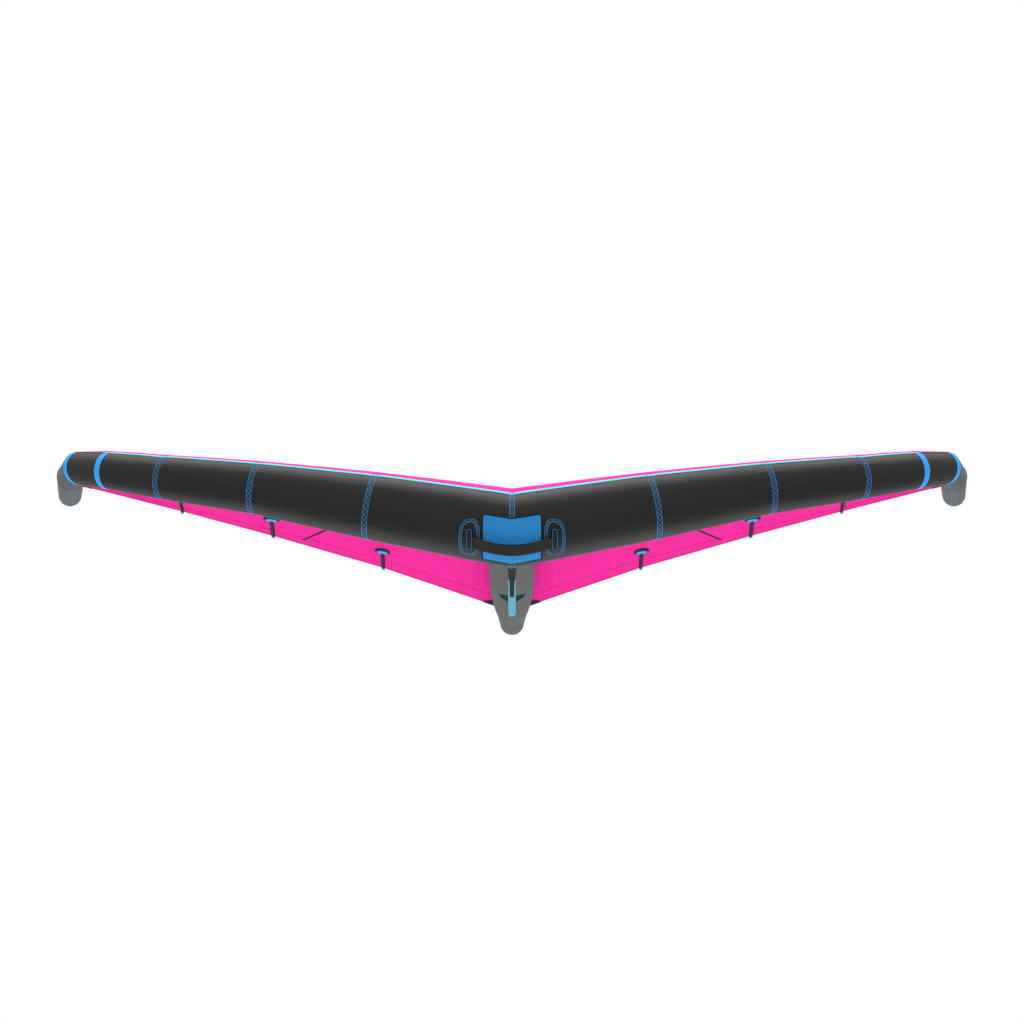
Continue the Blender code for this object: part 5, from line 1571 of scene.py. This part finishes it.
print(len(BATTEN_RIBS), "battens a side")

# %% [markdown]
# ## Trailing edge patches
# Dark patches of thick cloth guard the trailing edge where it meets the strut, and a narrow dark
# strip stiffens the canopy between the inner battens. By each tip, a thin strip of the same dark
# cloth under the trailing edge is painted shade.

# %% Trailing edge patches
CORNER_PATCH = ((0.030, 0.078), (0.060, 0.060), (0.088, 0.032), (0.102, 0.004))
STIFFENER = ((0.720, 0.050), (0.634, 0.235))
# Where the painted shade strip by each tip lies, and how far forward it reaches.
TIP_SHADE_PLACES = (6.10, 6.97)
TIP_SHADE_REACH = 0.007
EDGE_PATCH_THICKNESS = 0.0016
STIFFENER_PARTS = 12


def place_at(across):
    """The canopy place at a distance from the middle, along the trailing edge."""
    edges = [rib_point(rib, 1.0).x for rib in range(LAST_RIB)]
    return float(np.interp(across, edges, range(LAST_RIB)))


def edge_patch_and_shade_strip(name, outline, parts, past_edge):
    """A dark piece under the trailing edge: a real patch at the strut, and painted shade by a tip. Its outline gives
    how far forward it reaches at each place.
    """
    grids = [[[under(place, share_at(place, reach * (1.0 - k / parts) - past_edge), lift) for k in range(parts + 1)]
              for place, reach in outline] for lift in (PATCH_LIFT + EDGE_PATCH_THICKNESS, PATCH_LIFT)]
    add_pair(name, *grids, "black_cordura", "black_webbing")


def tip_shade_reach(place):
    """How far forward the painted shade strip by a tip reaches: it starts narrow and stays off the front."""
    growth = min(1.0, (place - TIP_SHADE_PLACES[0]) / 0.2 + 0.1)
    return min(TIP_SHADE_REACH, 0.8 * chord_at(place)) * growth


under = canopy_face(-1.0)
across_places = spaced(CORNER_PATCH[0][0], CORNER_PATCH[-1][0], 0.006)
edge_patch_and_shade_strip("patch_edge_strut", [(place_at(across), float(np.interp(across, *zip(*CORNER_PATCH))))
                                for across in across_places], 6, 0.004)
# By each tip, a thin dark strip of cloth under the trailing edge is painted shade.
edge_patch_and_shade_strip("patch_edge_tip", [(place, tip_shade_reach(place)) for place in spaced(*TIP_SHADE_PLACES, 0.05)], 4, 0.003)
(x0, d0), (x1, d1) = STIFFENER
line = []
for k in range(STIFFENER_PARTS + 1):
    across, distance = x0 + (x1 - x0) * k / STIFFENER_PARTS, d0 + (d1 - d0) * k / STIFFENER_PARTS
    line.append((place_at(across), share_at(place_at(across), distance)))
grow("stiffener", "tape", both([surface_path(under, line, lift=0.0003)]), "black_cordura", "black_webbing",
     Width=0.009, Thickness=0.0009)
print("trailing edge patches")

# %% [markdown]
# ## The bladders
# Inside each sleeve is a bladder of thin film, which holds the air that the cloth shapes. Nothing
# of it shows from outside, but it is there, so each gets a smooth tube that just fits its sleeve.

# %% Bladders
BLADDER_GAP = 0.0024
BLADDER_WALL = 0.0006
BLADDER_SIDES = 48
BLADDER_NOSE = 0.45
BLADDER_TURNS = (0.4, 0.8, 1.2)


def film(name, base, shade, **sockets):
    """Thin translucent film with the soft wrinkles of something blown up inside a tube."""
    tree = start_material(name)
    wrinkle = object_texture(tree, "ShaderNodeTexNoise", {"Scale": 24.0, "Detail": 5.0})
    finish_material(tree, mixed(tree, wrinkle, linear(base), linear(shade)), wrinkle, 0.0008, sockets)


film("bladder_film_tpu", "#dfe4e6", "#d2d8db", IOR=1.5, Roughness=0.28)


def tube_bladder_rows(lift):
    """Rows of the front bladder from one tip's pole to the other's."""
    rows = [tube_ring(bay, share, lift, BLADDER_SIDES, 0.0)
            for bay in range(LAST_STATION) for share in spaced(0.0, 1.0, 0.34)[:-1]]
    last = tube_ring(LAST_STATION - 1, 1.0, lift, BLADDER_SIDES, 0.0)
    rows += [last, *tip_rings(last, BLADDER_TURNS, lift)]
    return mirrored(rows[:0:-1]) + rows


def strut_bladder_rows(lift):
    """Rows of the strut's bladder from its nose to its rear pole."""
    first = STRUT_BACKS[2]
    height, radius = strut_section(first)
    front = Vector((0.0, first, height))
    ring = [Vector((math.sin(turn), 0.0, -math.cos(turn))) for turn in TURNS]
    nose = Vector((0.0, -1.0, 0.0)) * (BLADDER_NOSE * radius + lift)
    rows = [[front + nose]]
    for turn in BLADDER_TURNS[::-1]:
        rows.append([front + out * (radius + lift) * math.cos(turn) + nose * math.sin(turn) for out in ring])
    for back in spaced(first, STRUT_LAST, 0.06):
        height, radius = strut_section(back)
        rows.append([Vector((0.0, back, height)) + out * (radius + lift) for out in ring])
    return rows + strut_dome(lift)


for name, rows_of in (("le_bladder", tube_bladder_rows), ("strut_bladder", strut_bladder_rows)):
    walls = [rows_of(-BLADDER_GAP), rows_of(-BLADDER_GAP - BLADDER_WALL)]
    bladder = cloth_object(f"film_{name}", *walls, "bladder_film_tpu", wrap=True)
    place_piece(bladder, "bladder_film", [name])
print("two bladders")

# %% [markdown]
# ## The battens
# The thin rods of glass fibre in the pockets are the solids of the CAD model: a rod has nothing to
# add. They only get their material, which has fine pale streaks along the rod, where the fibres lie
# in the resin.

# %% Glass-fibre rods
FIBRE_ACROSS = 900.0
FIBRE_ALONG = 6.0

tree = start_material("glassfibre_rod")
where = add_node(tree, "ShaderNodeTexCoord")
drawn_out = add_node(tree, "ShaderNodeMapping", {"Vector": where.outputs["Object"],
                                                 "Scale": (FIBRE_ACROSS, FIBRE_ALONG, FIBRE_ACROSS)})
streaks = add_node(tree, "ShaderNodeTexNoise", {"Vector": drawn_out.outputs[0], "Scale": 1.0, "Detail": 3.0})
colour = mixed(tree, streaks.outputs["Fac"], linear("#c9cdb4"), linear("#e2e4d6"))
finish_material(tree, colour, streaks.outputs["Fac"], 0.00005, {"IOR": 1.52, "Roughness": 0.35})
rods = [obj for obj in bpy.data.objects if obj.name.startswith("batten_") and obj.type == "MESH"]
for rod in rods:
    for slot in rod.material_slots:
        slot.material = MATERIALS["glassfibre_rod"]
print(len(rods), "rods")

# %% [markdown]
# ## The inflation valves
# A pump's nozzle goes into each valve. A moulded collar is welded to the bladder and comes out
# through a hole in the sleeve. A pale insert holds a flap that stops the air: a quarter turn takes
# it out, to let the air go at once. A cap on a strap closes it. All are turned shapes: a profile
# of radius and height, swept round the valve's axis, with small bevels where a mould would have them.

# %% Moulded valves
VALVE_SIDES = 64
HINGE_HEIGHT = 0.0103
LUG_END = 0.0260
KNUCKLE_PROFILE = ((0.0, -0.0050), (0.0019, -0.0050), (0.0022, -0.0047), (0.0022, 0.0047), (0.0019, 0.0050),
                   (0.0, 0.0050))
COLLAR_PROFILE = ((0.0155, -0.0120), (0.0190, -0.0120), (0.0190, 0.0004), (0.0219, 0.0004), (0.0225, 0.0009),
                  (0.0225, 0.0024), (0.0219, 0.0030), (0.0194, 0.0030), (0.0190, 0.0034), (0.0190, 0.0094),
                  (0.0185, 0.0100), (0.0160, 0.0100), (0.0155, 0.0095), (0.0155, -0.0091), (0.0115, -0.0095),
                  (0.0115, -0.0119), (0.0155, -0.0120))
INSERT_PROFILE = ((0.0, -0.0080), (0.0110, -0.0080), (0.0140, -0.0076), (0.0146, -0.0070), (0.0146, 0.0034),
                  (0.0141, 0.0040), (0.0112, 0.0040), (0.0106, 0.0034), (0.0102, 0.0004), (0.0, 0.0))
CAP_PROFILE = ((0.0, 0.0106), (0.0120, 0.0106), (0.0142, 0.0108), (0.0198, 0.0108), (0.0205, 0.0114),
               (0.0205, 0.0142), (0.0196, 0.0158), (0.0168, 0.0163), (0.0, 0.0165))
BOX_BEVEL = 0.0006
BOX_FACES = ((0, 1, 3, 2), (4, 6, 7, 5), (0, 4, 5, 1), (2, 3, 7, 6), (0, 2, 6, 4), (1, 5, 7, 3))
HINGE_BLOCK = ((-0.0274, -0.0058, 0.0003), (-0.0186, 0.0058, 0.0030))
POST_BLOCK = ((-0.0271, -0.0046, 0.0020), (-0.0249, 0.0046, 0.0086))
GRIP_BLOCK = ((-0.0100, -0.0024, -0.0010), (0.0100, 0.0024, 0.0052))
STRAP_BLOCK = ((-0.0241, -0.0046, 0.0108), (-0.0180, 0.0046, 0.0136))
BLACK_NYLON = ("moulded_nylon_black", "valve_plastic")
PALE_NYLON = ("moulded_nylon_pale", "valve_insert_plastic")

moulded_plastic("moulded_nylon_black", "#26272a", "#2d2e31", 0.02, 0.0001, IOR=1.53, Roughness=0.38)
moulded_plastic("moulded_nylon_pale", "#c9ccce", "#c0c4c7", 0.02, 0.0001, IOR=1.53, Roughness=0.40)


def turned(name, profile, axes, look, body, stands_for=()):
    """A shape turned round a valve's axis. Axes are its middle and its X, Y and Z directions."""
    middle, x, y, z = axes
    material, slot = look
    turns = [2 * math.pi * k / VALVE_SIDES for k in range(VALVE_SIDES)]
    closed = profile[0] == profile[-1]
    rows = []
    for radius, height in profile:
        ring = [middle + (x * math.cos(turn) + y * math.sin(turn)) * radius + z * height for turn in turns]
        rows.append(ring if radius else ring[:1])
    if closed:
        rows = rows[:-1]
    faces, uvs = grid_faces(rows, wrap=True)
    points = [point for row in rows for point in row]
    if closed:
        last = len(points) - VALVE_SIDES
        for k in range(VALVE_SIDES):
            after = (k + 1) % VALVE_SIDES
            faces.append([last + k, last + after, after, k])
            uvs.append([(0.0, 0.0)] * 4)
    return place_piece(mesh_object(name, points, faces, uvs, material), slot, stands_for, body)


def box_piece(name, block, axes, look, body):
    """A bevelled block in a valve's own directions, between a low and a high corner."""
    middle, x, y, z = axes
    bm = bmesh.new()
    corners = [bm.verts.new(corner) for corner in itertools.product(*zip(*block))]
    for face in BOX_FACES:
        bm.faces.new([corners[k] for k in face])
    bmesh.ops.bevel(bm, geom=bm.edges[:], offset=BOX_BEVEL, segments=2, affect="EDGES")
    for vert in bm.verts:
        vert.co = middle + x * vert.co.x + y * vert.co.y + z * vert.co.z
    return place_piece(link_mesh(name, bpy.data.meshes.new(name), bm, look[0]), look[1], (), body)


def valve_axes(prefix):
    """A valve's middle and directions, from its two joints. Its cap's hinge lies towards -X."""
    z = Vector(JOINTS[f"{prefix}_insert_turn"]["axis"]).normalized()
    place = Vector(JOINTS[f"{prefix}_cap_flip"]["pos_m"])
    turn = Vector(JOINTS[f"{prefix}_insert_turn"]["pos_m"])
    x = (turn - place) - z * (turn - place).dot(z)
    x.normalize()
    return place + x * LUG_END - z * HINGE_HEIGHT, x, z.cross(x).normalized(), z


for prefix in ("le", "strut"):
    axes = middle, x, y, z = valve_axes(prefix)
    hinge_axes = (middle - x * LUG_END + z * HINGE_HEIGHT, z, x, y)
    insert, cap = f"{prefix}_valve_insert", f"{prefix}_valve_cap"
    print(prefix, "valve at", [round(value, 4) for value in middle])
    turned(f"valve_collar_{prefix}", COLLAR_PROFILE, axes, BLACK_NYLON, "wing", [f"{prefix}_valve_base"])
    box_piece(f"valve_hinge_{prefix}", HINGE_BLOCK, axes, BLACK_NYLON, "wing")
    box_piece(f"valve_post_{prefix}", POST_BLOCK, axes, BLACK_NYLON, "wing")
    turned(f"valve_insert_{prefix}", INSERT_PROFILE, axes, PALE_NYLON, insert, [insert])
    box_piece(f"valve_grip_{prefix}", GRIP_BLOCK, axes, PALE_NYLON, insert)
    turned(f"valve_cap_{prefix}", CAP_PROFILE, axes, BLACK_NYLON, cap, [cap])
    turned(f"valve_knuckle_{prefix}", KNUCKLE_PROFILE, hinge_axes, BLACK_NYLON, cap)
    box_piece(f"valve_strap_{prefix}", STRAP_BLOCK, axes, BLACK_NYLON, cap)
